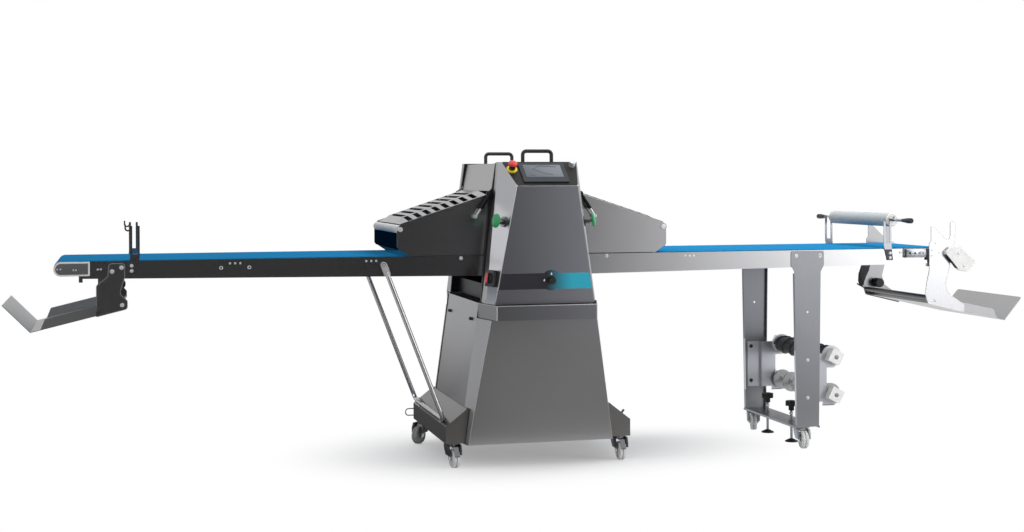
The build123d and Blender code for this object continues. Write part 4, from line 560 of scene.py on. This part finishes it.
def lathe(mesh, profile, frame_matrix, steps=20):
    """Turn a profile of radius and height in millimetres about a frame's Z."""
    rings = []
    for radius, height in profile:
        if radius == 0:
            rings.append([mesh.verts.new(frame_matrix @ Vector((0, 0, height * MM)))])
            continue
        ring = []
        for step in range(steps):
            turn = math.tau * step / steps
            spot = Vector((radius * math.cos(turn), radius * math.sin(turn), height))
            ring.append(mesh.verts.new(frame_matrix @ (spot * MM)))
        rings.append(ring)
    for first, second in zip(rings, rings[1:]):
        for step in range(steps):
            after = (step + 1) % steps
            order = ((first, step), (first, after), (second, after), (second, step))
            corners = list(dict.fromkeys(ring[index % len(ring)] for ring, index in order))
            if len(corners) > 2:
                mesh.faces.new(corners)


def prism(mesh, outline, low, high, frame_matrix, bevel=0.0):
    """Thicken an outline in millimetres along a frame's Z, with softened edges round its outer face."""
    bottom = [mesh.verts.new(frame_matrix @ (Vector((x, y, low)) * MM)) for x, y in outline]
    top = [mesh.verts.new(frame_matrix @ (Vector((x, y, high)) * MM)) for x, y in outline]
    count = len(outline)
    for index in range(count):
        after = (index + 1) % count
        mesh.faces.new([bottom[index], bottom[after], top[after], top[index]])
    mesh.faces.new(bottom[::-1])
    cap = mesh.faces.new(top)
    if bevel:
        bmesh.ops.bevel(mesh, geom=list(cap.edges), offset=bevel * MM, segments=2,
                        affect="EDGES", profile=0.5)


def ribbon(mesh, line, low, high, frame_matrix, bevel=0.0):
    """Thicken a line of places and widths into a flat bar."""
    left, right = [], []
    for index, (x, y, width) in enumerate(line):
        before, after = line[max(index - 1, 0)], line[min(index + 1, len(line) - 1)]
        along = Vector((after[0] - before[0], after[1] - before[1])).normalized()
        left.append((x - along.y * width / 2, y + along.x * width / 2))
        right.append((x + along.y * width / 2, y - along.x * width / 2))
    prism(mesh, left + right[::-1], low, high, frame_matrix, bevel)


def rounded(x0, x1, y0, y1, radius, steps=5):
    """The outline of a rounded rectangle."""
    points = []
    corners = [(x1 - radius, y1 - radius, 0), (x0 + radius, y1 - radius, 90),
               (x0 + radius, y0 + radius, 180), (x1 - radius, y0 + radius, 270)]
    for x, y, start in corners:
        for step in range(steps + 1):
            turn = math.radians(start + 90 * step / steps)
            points.append((x + radius * math.cos(turn), y + radius * math.sin(turn)))
    return points


def hexagon(radius):
    """The outline of a nut, by how far its corners lie from its middle."""
    turns = [math.tau * corner / 6 for corner in range(6)]
    return [(radius * math.cos(turn), radius * math.sin(turn)) for turn in turns]


def finish_piece(name, mesh, material, body):
    """Turn a mesh in progress into a piece that rides on a body."""
    bmesh.ops.recalc_face_normals(mesh, faces=mesh.faces[:])
    data = bpy.data.meshes.new(name)
    mesh.to_mesh(data)
    mesh.free()
    for polygon in data.polygons:
        polygon.use_smooth = True
    sharp_degrees = 32
    data.set_sharp_from_angle(angle=math.radians(sharp_degrees))
    data.materials.append(material)
    piece = bpy.data.objects.new(name, data)
    bpy.context.scene.collection.objects.link(piece)
    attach(piece, body)


def screw(mesh, origin, normal, radius, washer=True):
    """A round-headed socket screw, on a washer or bare, sized by its head's radius."""
    base = facing(origin, normal)
    sunk = -0.4
    lift = 0.0
    if washer:
        lift = 1.4
        rim = radius * 1.42
        lathe(mesh, [(0, lift), (radius * 1.32, lift), (rim, lift - 0.5), (rim, sunk)], base)
    high = radius * 0.62
    profile = [(0, high * 0.45), (radius * 0.44, high * 0.45), (radius * 0.48, high),
               (radius * 0.72, high * 0.94), (radius * 0.92, high * 0.66), (radius, high * 0.3),
               (radius, sunk)]
    lathe(mesh, [(r, h + lift) for r, h in profile], base)


def eye(mesh, origin, normal, radius):
    """A collar round a hole."""
    bore, sunk = radius * 0.62, -0.4
    profile = [(bore, sunk), (bore, 1.8), (radius * 0.85, 2.4), (radius, 1.4), (radius, sunk)]
    lathe(mesh, profile, facing(origin, normal))


def ends(x, face, z):
    """A place on the front and on the rear of the machine, with the way it faces."""
    return [(point(x, side * face, z), (0, side, 0)) for side in (-1, 1)]


def build_screws():
    """Screws on rails, brackets, forks, legs, blocks and the rear lower panel, and collars round holes."""
    washered = [
        (-1775, PLATE_FACE, 856, 6.2), (-1738, PLATE_FACE, 871, 6.2), (-1736, PLATE_FACE, 719, 6),
        (-1698, PLATE_FACE, 878, 5), (-1698, PLATE_FACE, 857, 5),
        (1698, PLATE_FACE, 878, 5), (1698, PLATE_FACE, 857, 5),
        (1228, LEG_FACE, 872, 6.5), (1345, LEG_FACE, 872, 6.5),
        (1283, LEG_FACE, 398, 5.5), (1283, LEG_FACE, 227, 5.5),
        (-327, RAIL_FACE, 886.5, 5.8), (327, RAIL_FACE, 886.5, 5.8), (1921, RIGHT_PLATE_FACE, 655, 6),
        (2035, GUIDE_FACE, 872, 5.5), (2061, GUIDE_FACE, 812, 5.5), (1751, RAIL_FACE, 880, 5),
    ]
    bare = [
        (-1988, NOSE_COVER_FACE, 868, 3.5), (-1976, NOSE_COVER_FACE, 868, 3.5),
        (-1926, NOSE_COVER_FACE, 864, 3.5), (-1916, NOSE_COVER_FACE, 864, 3.5),
        (-1831, RAIL_FACE, 865, 4), (-1819, RAIL_FACE, 865, 4), (1925, RIGHT_PLATE_FACE, 920, 4),
        (1908, RIGHT_PLATE_FACE, 888, 4), (1906, RIGHT_PLATE_FACE, 863, 4),
        (1944, RIGHT_PLATE_FACE, 875, 4), (1972, RIGHT_PLATE_FACE, 885, 4),
    ]
    mesh = bmesh.new()
    for rows, washer in ((washered, True), (bare, False)):
        for x, face, z, radius in rows:
            for origin, normal in ends(x, face, z):
                screw(mesh, origin, normal, radius, washer)
    for x in EYES_OUT:
        for origin, normal in ends(x, RAIL_FACE, EYES_Z):
            eye(mesh, origin, normal, 7.4)
    lean = (PANEL_HIGH[0] - PANEL_LOW[0]) / (PANEL_HIGH[1] - PANEL_LOW[1])
    for x, z in ((-205, 600), (205, 600), (-270, 140), (270, 140)):
        y = -(PANEL_LOW[0] + lean * (z - PANEL_LOW[1]))
        screw(mesh, point(x, y, z), (0, 1, lean), 6)
    finish_piece("machine_screws", mesh, screw_metal, "machine")


def build_rail_plugs():
    """Plugs in threes along the rails, grey on the left and white on the right, where the white is painted
    light.
    """
    pitch, height = 21, 881
    mesh = bmesh.new()
    for start in (-1304, -737, 694):
        for index in range(3):
            for origin, normal in ends(start + index * pitch, RAIL_FACE, height):
                lathe(mesh, [(0, 2.4), (3.4, 2.2), (4.6, 1.2), (4.8, -0.3)], facing(origin, normal), 16)
    finish_piece("rail_plugs", mesh, plug_colour_and_light, "machine")


def service_x(z):
    """How far a service panel lies from the middle at a height."""
    return SERVICE_HIGH[0] + SERVICE_SLOPE * (SERVICE_HIGH[1] - z)


def add_panel_details(mesh, side):
    """Two latches and the rear gasket of a service panel."""
    outward = (side, 0, SERVICE_SLOPE)
    latch_y, latch_z, half_pitch = 218, 619.0, 9
    knob = [(0, 9), (4, 9), (6.5, 7.5), (7, 3), (5.5, -0.3)]
    for y in (-latch_y, latch_y):
        base = facing(point(side * service_x(latch_z), y, latch_z), outward)
        for shift in (-half_pitch, half_pitch):
            lathe(mesh, knob, base @ Matrix.Translation((shift * MM, 0, 0)), 14)
        prism(mesh, rounded(-11, 11, -3.2, 3.2, 3), -0.3, 6.5, base, 0.8)
    gasket_y, low, high = 300.0, 172.0, 688.0
    length = math.dist((service_x(low), low), (service_x(high), high))
    base = facing(point(side * service_x(low), gasket_y, low), outward)
    prism(mesh, rounded(-5, 5, 0, length, 1.5, 2), -0.2, 2.2, base, 0.6)


def build_dark_details():
    """Dark discs in collars as painted shade in the holes, holders' screws, bolt rings, pivot caps, latches,
    gaskets and a corner plug.
    """
    holder_x, strut_bolt, tray_pivot, corner_plug = 1264, (-665, 866), (-1830, 694), (221, -462, 694)
    mesh = bmesh.new()
    # Black discs inside the rail's collars: painted shade in the holes.
    for x in EYES_OUT:
        for origin, normal in ends(x, RAIL_FACE, EYES_Z):
            lathe(mesh, [(0, 0.5), (4.5, 0.5), (4.5, -0.3)], facing(origin, normal))
    for z in (400, 232):
        for side in (-1, 1):
            screw(mesh, point(holder_x, side * HOLDER_FACE, z), (0, -side, 0), 6.5)
    for origin, normal in ends(strut_bolt[0], STRUT_BOLT_FACE, strut_bolt[1]):
        lathe(mesh, [(4.4, -0.2), (4.4, 0.5), (7.2, 0.5), (7.2, -0.2)], facing(origin, normal))
    for origin, normal in ends(tray_pivot[0], PLATE_FACE, tray_pivot[1]):
        lathe(mesh, [(0, 7), (5, 7), (8.5, 5), (10, 2), (10, -0.4)], facing(origin, normal))
    for side in (-1, 1):
        add_panel_details(mesh, side)
    corner = facing(point(*corner_plug), (0, 0, 1), (0, 1, 0))
    prism(mesh, rounded(-7, 7, -7, 7, 2), -6, 12, corner, 1.0)
    finish_piece("dark_details", mesh, black, "machine")


def build_band():
    """Printed band across the front panel, with a round swell about the selector knob and two drops."""
    lean = (CONSOLE_LOW[0] - FRONT_LOW[0]) / (CONSOLE_LOW[1] - FRONT_LOW[1])
    normal = Vector((0, -1, lean)).normalized()
    knob_x, knob_z = 24.0, 797.0
    origin = point(knob_x, FRONT_LOW[0] + lean * (knob_z - FRONT_LOW[1]), knob_z)
    base = facing(origin, normal)
    edge = 5.0

    def half_at(z):
        share = (CONSOLE_LOW[1] - z) / (CONSOLE_LOW[1] - FRONT_LOW[1])
        return FRONT_HIGH_HALF + (FRONT_LOW_HALF - FRONT_HIGH_HALF) * share - edge

    low, high, swell = 759.0, 827.0, 44.0
    up, down = high - knob_z, low - knob_z
    top_turn = math.asin(up / swell)
    low_turn = math.asin(-down / swell)
    outline = [(half_at(low) - knob_x, down), (half_at(high) - knob_x, up)]
    steps = 14
    for step in range(steps + 1):
        turn = top_turn + (math.pi - 2 * top_turn) * step / steps
        outline.append((swell * math.cos(turn), swell * math.sin(turn)))
    outline += [(-half_at(high) - knob_x, up), (-half_at(low) - knob_x, down)]
    for step in range(steps + 1):
        turn = math.pi + low_turn + (math.pi - 2 * low_turn) * step / steps
        outline.append((swell * math.cos(turn), swell * math.sin(turn)))
    mesh = bmesh.new()
    prism(mesh, outline, -0.1, 0.35, base)
    finish_piece("front_band", mesh, band, "machine")
    right_half = [(2.6, 2.0), (3.6, -1.2), (2.8, -3.8)]
    left_half = [(-x, y) for x, y in reversed(right_half)]
    drop = [(0, 6.5)] + right_half + [(0, -5.0)] + left_half
    mesh = bmesh.new()
    for x, y in ((0, 27), (-31, 0)):
        prism(mesh, [(x + dx, y + dy) for dx, dy in drop], 0.2, 0.6, base)
    finish_piece("band_drops", mesh, icon_white, "machine")


def build_display():
    """Glass of the touch screen and the lines drawn on it."""
    middle = slope_length / 2
    origin = point(0, CONSOLE_LOW[0] + CONSOLE_UP[1] * middle, CONSOLE_LOW[1] + CONSOLE_UP[2] * middle)
    base = facing(origin, CONSOLE_OUT, CONSOLE_UP)
    face = 9.0
    mesh = bmesh.new()
    prism(mesh, rounded(-82, 82, -34, 53, 2), face - 0.2, face + 0.5, base, 0.2)
    finish_piece("display_glass", mesh, display, "machine")
    stroke = 4.0
    mesh = bmesh.new()
    for line in ([(62, 38), (-14, 44), (-43, 22), (2, -11), (38, -17)], [(-66, -22), (-40, -22)]):
        ribbon(mesh, [(x, y, stroke) for x, y in line], face + 0.3, face + 0.65, base)
    finish_piece("display_lines", mesh, screen_ink, "machine")


def build_nose_pieces():
    """Covers of the left nose blocks and slotted adjusters of the right ones, with black fills as painted
    shade in the slots and in the gap beside the adjusters.
    """
    nose_x, nose_z, radius, cover_end = -1974, 868, 22.0, -1869
    steps = 12
    cover = []
    for step in range(steps + 1):
        angle = math.radians(90 + 180 * step / steps)
        cover.append((nose_x + radius * math.cos(angle), nose_z + radius * math.sin(angle)))
    cover += [(cover_end, nose_z - radius), (cover_end, nose_z + radius)]
    plate_thick = 3.5

    def seen(outline, side):
        return [(-side * x, z) for x, z in outline]

    covers = bmesh.new()
    plates = bmesh.new()
    dark = bmesh.new()
    for side in (-1, 1):
        base = facing(point(0, side * NOSE_FACE, 0), (0, side, 0))
        prism(covers, seen(cover, side), -0.2, 1.0, base, 0.5)
        prism(plates, seen(rounded(1779, 1878, 858, 894, 3), side), -0.2, plate_thick, base, 0.8)
        # Black fills in the adjusters' slots: painted shade.
        for x0, x1 in ((1790, 1828), (1838, 1866)):
            slot = seen(rounded(x0, x1, 871, 881, 4.9), side)
            prism(dark, slot, plate_thick - 0.2, plate_thick + 0.2, base)
        # A black end piece before each adjuster, and after it a black bar that is painted shade in the gap
        # to the bracket plate.
        for x0, x1, z0, z1, high in ((1768, 1778, 857, 895, 5.0), (1880, 1891, 843, 896, 5.5)):
            prism(dark, seen(rounded(x0, x1, z0, z1, 2), side), -0.2, high, base, 0.8)
        for x in (1809, 1852):
            screw(plates, point(x, side * (NOSE_FACE + plate_thick), 876), (0, side, 0), 6.5)
    finish_piece("nose_covers", covers, grey_cover, "machine")
    finish_piece("nose_adjusters", plates, zinc, "machine")
    finish_piece("nose_adjuster_ends_and_shade", dark, black, "machine")


def build_guide_ribs():
    """Ribbed dark pads on the lower inner side of the right guide blocks."""
    start = Vector((1974.0, 0, 867.0))
    end = Vector((2027.0, 0, 805.5))
    along = (end - start).normalized()
    outward = Vector((along.z, 0, -along.x))
    length = (end - start).length
    count = 11
    mesh = bmesh.new()
    for side in (-1, 1):
        middle = side * (RIGHT_PLATE_FACE + GUIDE_FACE) / 2
        base = facing(point(start.x, middle, start.z), outward, along)
        prism(mesh, rounded(-9.5, 9.5, 0, length, 2), -0.3, 1.5, base, 0.4)
        for index in range(count):
            y = length * (index + 0.5) / count
            prism(mesh, rounded(-8.5, 8.5, y - 1.7, y + 1.7, 1), 1.3, 4.0, base, 0.5)
    finish_piece("guide_ribs", mesh, rubber, "machine")


def build_block_inserts():
    """Metal inserts in the cutters' square end blocks."""
    insert = [(0, 0.4), (4.5, 0.4), (5, 1.2), (9.5, 1.2), (10.5, 0.8), (10.5, -0.3)]
    mesh = bmesh.new()
    for z in (BLADE_Z, DISC_Z):
        for origin, normal in ends(CUTTER_OUT, BLOCK_FACE, z):
            lathe(mesh, insert, facing(origin, normal))
    finish_piece("cutter_block_inserts", mesh, insert_metal, "machine")


def build_caster_pieces():
    """Axle nuts and bearing races of the casters, and the cheeks beside their forks."""
    race = [(24.2, -14), (28, -14), (29.5, -12), (29.5, -9), (27, -7), (24.2, -7)]
    washer = [(0, 1.2), (9.5, 1.2), (10, 0.6), (10, -0.2)]
    cheek = [(-16, -8), (44, -8), (54, -30), (54, -51), (14, -51), (-8, -28)]
    cheek_near, cheek_far = 22, 31
    fork_half = 0.020
    upright = Vector((0, 0, 1))
    for joint in JOINTS:
        if not joint["name"].endswith("_roll"):
            continue
        fork = joint["parent"]
        centre = Vector(joint["pos_m"])
        axis = Vector(joint["axis"]).normalized()
        swivel = Vector(joint_row(joint["name"].replace("_roll", "_swivel"))["pos_m"])
        mesh = bmesh.new()
        lathe(mesh, race, Matrix.Translation(swivel), 28)
        for side in (-1, 1):
            base = facing(centre + axis * side * fork_half, axis * side)
            lathe(mesh, washer, base)
            prism(mesh, hexagon(8), 1.0, 6.0, base, 0.8)
        finish_piece(fork + "_nuts", mesh, screw_metal, fork)
        trail = Vector((joint["pos_m"][0] - swivel.x, joint["pos_m"][1] - swivel.y, 0)).normalized()
        base = Matrix((trail, upright, trail.cross(upright))).transposed().to_4x4()
        base.translation = swivel
        mesh = bmesh.new()
        for side in (1, -1):
            prism(mesh, cheek, side * cheek_near, side * cheek_far, base, 1.2)
        finish_piece(fork + "_cheeks", mesh, cheek_finish, fork)


def build_foot_nuts():
    """Lock nuts on the levelling feet's spindles, above the foot plate."""
    nut_z = 0.128
    for end in ("front", "rear"):
        low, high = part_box(end + "_levelling_foot")
        middle = (low + high) / 2
        base = facing(Vector((middle.x, middle.y, nut_z)), (0, 0, 1), (0, 1, 0))
        mesh = bmesh.new()
        prism(mesh, hexagon(10.5), 0, 8, base, 1.0)
        finish_piece(end + "_foot_nut", mesh, zinc, end + "_levelling_foot")


def build_housing_rims():
    """Lower rims of the upper housings: their walls carried on down to just above the cabinet's lid."""
    high, low, sheet = 712.3, 697.0, 2.0
    outer_high = [(241.0, 312.0), (241.0, 400.1), (217.0, 470.0)]
    outer_low = [(242.7, 312.0), (242.7, 401.3), (219.6, 468.6)]
    turns = ((outer_high, high, 0), (outer_low, low, 0), (outer_low, low, sheet), (outer_high, high, sheet))
    mesh = bmesh.new()
    for side in (-1, 1):
        rings = []
        for plan, z, inset in turns:
            half = [(x - inset, y - (inset if index == 2 else 0)) for index, (x, y) in enumerate(plan)]
            path = half + [(-x, y) for x, y in reversed(half)]
            rings.append([mesh.verts.new(point(x, side * y, z)) for x, y in path])
        for first, second in zip(rings, rings[1:] + rings[:1]):
            for index in range(len(first) - 1):
                mesh.faces.new([first[index], first[index + 1], second[index + 1], second[index]])
        for index in (0, -1):
            mesh.faces.new([ring[index] for ring in rings])
    finish_piece("housing_rims", mesh, steel_z, "machine")


def build_cheek_shadow_lines():
    """Dark strips along the lower edges of the guards' cheeks: painted shadow below the cheeks."""
    inner, outer, low, high = 222.0, 546.0, 897.2, 900.8
    for side_name, way in (("left", -1), ("right", 1)):
        mesh = bmesh.new()
        for side in (-1, 1):
            base = facing(point(0, side * CHEEK_FACE, 0), (0, side, 0))
            x0, x1 = sorted(-side * way * x for x in (inner, outer))
            prism(mesh, rounded(x0, x1, low, high, 1.5, 3), -0.1, 1.2, base)
        # Black as painted shadow under the cheek's edge.
        finish_piece(side_name + "_guard_shadow_line", mesh, rubber, side_name + "_guard")


def build_collar_edges():
    """Bright strip round the top of the cabinet's collar and down its corners, as painted highlight of its
    folded edge.
    """
    top, bottom, bead = 694.3, 632.2, 3.0
    half = [(257.0, 312.5), (220.6, 499.8), (219.6, 501.7), (216.7, 503.0)]
    path = half + [(-x, y) for x, y in reversed(half)]
    base = facing(point(0, 0, 0), (0, 0, 1), (0, 1, 0))
    mesh = bmesh.new()
    for side in (-1, 1):
        ribbon(mesh, [(x, side * y, 0.9) for x, y in path], top - bead, top, base)
        for way in (-1, 1):
            corner = [(way * x, side * y, 0.8) for x, y in half[1:]]
            ribbon(mesh, corner, bottom, top - bead, base)
    finish_piece("collar_edge_highlights", mesh, fold_highlight, "machine")


def build_plate_rim_highlights():
    """Rims round the outer faces of the trays' bracket plates: painted highlight of their sheet edges,
    dimmer on the left as painted shade.
    """
    width, thick, outer_face = 2.6, 0.5, 0.3035
    mesh = bmesh.new()
    mesh.from_mesh(frame["nodes"]["tray_brackets"].data)
    other = []
    for face in mesh.faces:
        y = face.calc_center_median().y
        if abs(face.normal.y) < 0.99 or abs(y) < outer_face or face.normal.y * y < 0:
            other.append(face)
    bmesh.ops.delete(mesh, geom=other, context="FACES")
    rim = bmesh.ops.inset_region(mesh, faces=mesh.faces[:], thickness=width * MM, use_boundary=True,
                                 use_even_offset=True)["faces"]
    kept = set(rim)
    bmesh.ops.delete(mesh, geom=[face for face in mesh.faces if face not in kept], context="FACES")
    for vertex in mesh.verts:
        vertex.co.y += math.copysign(thick * MM, vertex.co.y)
    bmesh.ops.solidify(mesh, geom=mesh.faces[:], thickness=(thick + 0.2) * MM)
    finish_piece("bracket_rim_highlights", mesh, painted_rim_highlight, "machine")


def build_console_lip():
    """Bright strip along the console's lower edge, as painted highlight of its folded lip."""
    start, lip, flare = 0.4, 9.0, 2
    base = facing(point(0, *CONSOLE_LOW), CONSOLE_OUT, CONSOLE_UP)
    outline = [(-FRONT_HIGH_HALF, start), (FRONT_HIGH_HALF, start),
               (FRONT_HIGH_HALF + flare, lip), (-FRONT_HIGH_HALF - flare, lip)]
    mesh = bmesh.new()
    prism(mesh, outline, -0.2, 0.5, base)
    finish_piece("console_lip_highlight", mesh, fold_highlight, "machine")


def build_clamp_lever():
    """Black curved clamp lever on the inner face of the right rear bracket plate, with its thin arm."""
    thick = 7.0
    blade = [(1892, 808, 46), (1880, 768, 45), (1867, 738, 42), (1861, 708, 32), (1862, 684, 20)]
    arm = [(1835, 696, 6), (1925, 648, 6)]
    base = facing(point(0, BRACKET_INNER_FACE, 0), (0, -1, 0))
    mesh = bmesh.new()
    ribbon(mesh, blade, -0.1, thick, base, 1.5)
    ribbon(mesh, arm, thick - 0.2, thick + 4, base, 1.0)
    finish_piece("clamp_lever", mesh, black, "machine")


build_screws()
build_rail_plugs()
build_cheek_shadow_lines()
build_collar_edges()
build_plate_rim_highlights()
build_housing_rims()
build_console_lip()
build_clamp_lever()
build_dark_details()
build_band()
build_display()
build_nose_pieces()
build_guide_ribs()
build_block_inserts()
build_caster_pieces()
build_foot_nuts()


# Stage, light and camera

def background_rays(tree):
    """1 for rays that show the background: to the camera, in reflections and through glass."""
    paths = add_node(tree, "ShaderNodeLightPath")
    seen = maths(tree, "MAXIMUM", paths.outputs["Is Camera Ray"], paths.outputs["Is Glossy Ray"])
    return maths(tree, "MAXIMUM", seen, paths.outputs["Is Transmission Ray"])


def ramp(tree, value, low, high, start, end):
    """A value that turns smoothly from one number to another between two limits."""
    node = add_node(tree, "ShaderNodeMapRange", interpolation_type="SMOOTHSTEP", From_Min=low, From_Max=high,
                    To_Min=start, To_Max=end)
    tree.links.new(value, node.inputs["Value"])
    return node.outputs["Result"]


def build_floor():
    """Pale studio floor that keeps a soft shadow and turns to plain white away from the object."""
    half = 12.0
    mesh = bpy.data.meshes.new("floor")
    corners = [(-half, -half, 0), (half, -half, 0), (half, half, 0), (-half, half, 0)]
    mesh.from_pydata(corners, [], [(0, 1, 2, 3)])
    floor = bpy.data.objects.new("floor", mesh)
    bpy.context.scene.collection.objects.link(floor)
    material, tree, shader = start_material("pale_floor")
    specks = noise(tree, place(tree), 2.0)
    pale = blend(tree, specks, (0.80, 0.80, 0.80), (0.83, 0.83, 0.83))
    tree.links.new(pale, shader.inputs["Base Color"])
    shader.inputs["Roughness"].default_value = 0.7
    shader.inputs["Specular IOR Level"].default_value = 0.1
    distance = add_node(tree, "ShaderNodeVectorMath", operation="LENGTH")
    tree.links.new(place(tree, (0.8, 1.0, 1.0)), distance.inputs[0])
    near_white, near, far = 0.30, 0.25, 1.0
    white_share = ramp(tree, distance.outputs["Value"], near, far, near_white, 1.0)
    white_light = add_node(tree, "ShaderNodeEmission")
    white_light.inputs["Color"].default_value = (1, 1, 1, 1)
    mixed = add_node(tree, "ShaderNodeMixShader")
    tree.links.new(maths(tree, "MULTIPLY", white_share, background_rays(tree)), mixed.inputs["Fac"])
    tree.links.new(shader.outputs[0], mixed.inputs[1])
    tree.links.new(white_light.outputs[0], mixed.inputs[2])
    tree.links.new(mixed.outputs[0], tree.nodes["Material Output"].inputs["Surface"])
    mesh.materials.append(material)


def build_world():
    """A plain white studio, dimmer as a lamp than it looks."""
    world = bpy.data.worlds.new("studio")
    bpy.context.scene.world = world
    world.use_nodes = True
    tree = world.node_tree
    background = tree.nodes["Background"]
    ambient = 0.62
    strength = blend(tree, background_rays(tree), ambient, 1.0, "FLOAT")
    tree.links.new(strength, background.inputs["Strength"])
    background.inputs["Color"].default_value = (1, 1, 1, 1)


def build_card(name, corners, start, steps=(), axis="X", tint=(1.0, 1.0, 1.0)):
    """A card seen only in reflections. Its glow changes along an axis, by steps of from, to and amount."""
    mesh = bpy.data.meshes.new(name)
    mesh.from_pydata(corners, [], [tuple(range(len(corners)))])
    card = bpy.data.objects.new(name, mesh)
    bpy.context.scene.collection.objects.link(card)
    material, tree, shader = start_material(name)
    strength = start
    for low, high, amount in steps:
        strength = maths(tree, "ADD", ramp(tree, measure(tree, axis), low, high, 0.0, amount), strength)
    glow = add_node(tree, "ShaderNodeEmission")
    connect(tree, tint, glow.inputs["Color"])
    connect(tree, strength, glow.inputs["Strength"])
    tree.links.new(glow.outputs[0], tree.nodes["Material Output"].inputs["Surface"])
    tree.nodes.remove(shader)
    mesh.materials.append(material)
    card.visible_camera = False
    card.visible_diffuse = False
    card.visible_shadow = False
    card.visible_transmission = False


def build_cards():
    """Cards in front of the machine, on the floor before it, on the floor at its left and behind it."""
    warm, cool = (1.03, 1.0, 0.95), (0.96, 0.98, 1.09)
    away, low, high, near, split = -8.2, 0.002, 6.0, -0.62, -2.4
    front = [(-14, away, low), (10, away, low), (10, away, high), (-14, away, high)]
    front_steps = [(-7.0, -5.0, -3.45), (0.1, 0.9, -0.045), (2.05, 2.85, 0.38), (2.75, 4.7, 1.06),
                   (4.8, 5.4, 1.4)]
    build_card("front_card", front, 3.5, front_steps)
    before = [(-0.9, near, low), (10, near, low), (10, split, low), (-5.2, split, low)]
    build_card("near_floor_card", before, 0.24, [(-0.45, 0.05, 0.11)], tint=warm)
    beyond = [(-5.2, split, low), (10, split, low), (10, away, low), (-14, away, low), (-14, -6.0, low)]
    build_card("far_floor_card", beyond, 0.05, [(-0.20, 0.40, 0.62)], (1.0, 0.25, 0.0), cool)
    left = [(-9, -0.6, low), (-0.50, -0.6, low), (-0.50, 11, low), (-9, 11, low)]
    build_card("left_card", left, 0.50, [(-2.3, -0.9, -0.42)])
    behind, top = 9.5, 7.0
    rear = [(-10, behind, low), (8, behind, low), (8, behind, top), (-10, behind, top)]
    build_card("rear_card", rear, 0.655)


def softbox(name, place_m, target_m, size, power):
    """A large soft lamp aimed at a point, which reflections and the camera don't see."""
    data = bpy.data.lights.new(name, "AREA")
    data.shape = "RECTANGLE"
    data.size, data.size_y = size
    data.energy = power
    lamp = bpy.data.objects.new(name, data)
    bpy.context.scene.collection.objects.link(lamp)
    lamp.location = place_m
    lamp.rotation_euler = (Vector(target_m) - Vector(place_m)).to_track_quat("-Z", "Y").to_euler()
    lamp.visible_glossy = False
    lamp.visible_camera = False


def build_camera():
    """The photograph's camera: almost level, a little to the left, with the horizon above the middle."""
    focal_px = 1536.0
    width_px = 1024.0
    horizon_above_middle_px = 86.0
    turn = math.radians(14.4)
    roll = math.radians(-0.2)
    data = bpy.data.cameras.new("photo_camera")
    data.sensor_width = 36.0
    data.lens = focal_px / width_px * data.sensor_width
    data.shift_y = -horizon_above_middle_px / width_px
    camera = bpy.data.objects.new("photo_camera", data)
    bpy.context.scene.collection.objects.link(camera)
    camera.location = point(-1752, -6731, 1221)
    level = Matrix.Rotation(-turn, 4, "Z") @ Matrix.Rotation(math.pi / 2, 4, "X")
    camera.rotation_euler = (level @ Matrix.Rotation(roll, 4, "Z")).to_euler()
    bpy.context.scene.camera = camera


build_floor()
build_world()
build_cards()
softbox("overhead", (0.3, 0.3, 4.5), (0.2, 0, 0.8), (7.0, 3.0), 120.0)
softbox("right_top", (1.45, 0.25, 3.2), (1.45, 0.05, 0.9), (1.9, 1.0), 54.0)
softbox("right_key", (7.5, -5.0, 2.0), (1.5, 0, 0.8), (3.0, 3.0), 260.0)
build_camera()
bpy.context.scene.view_settings.view_transform = "Standard"
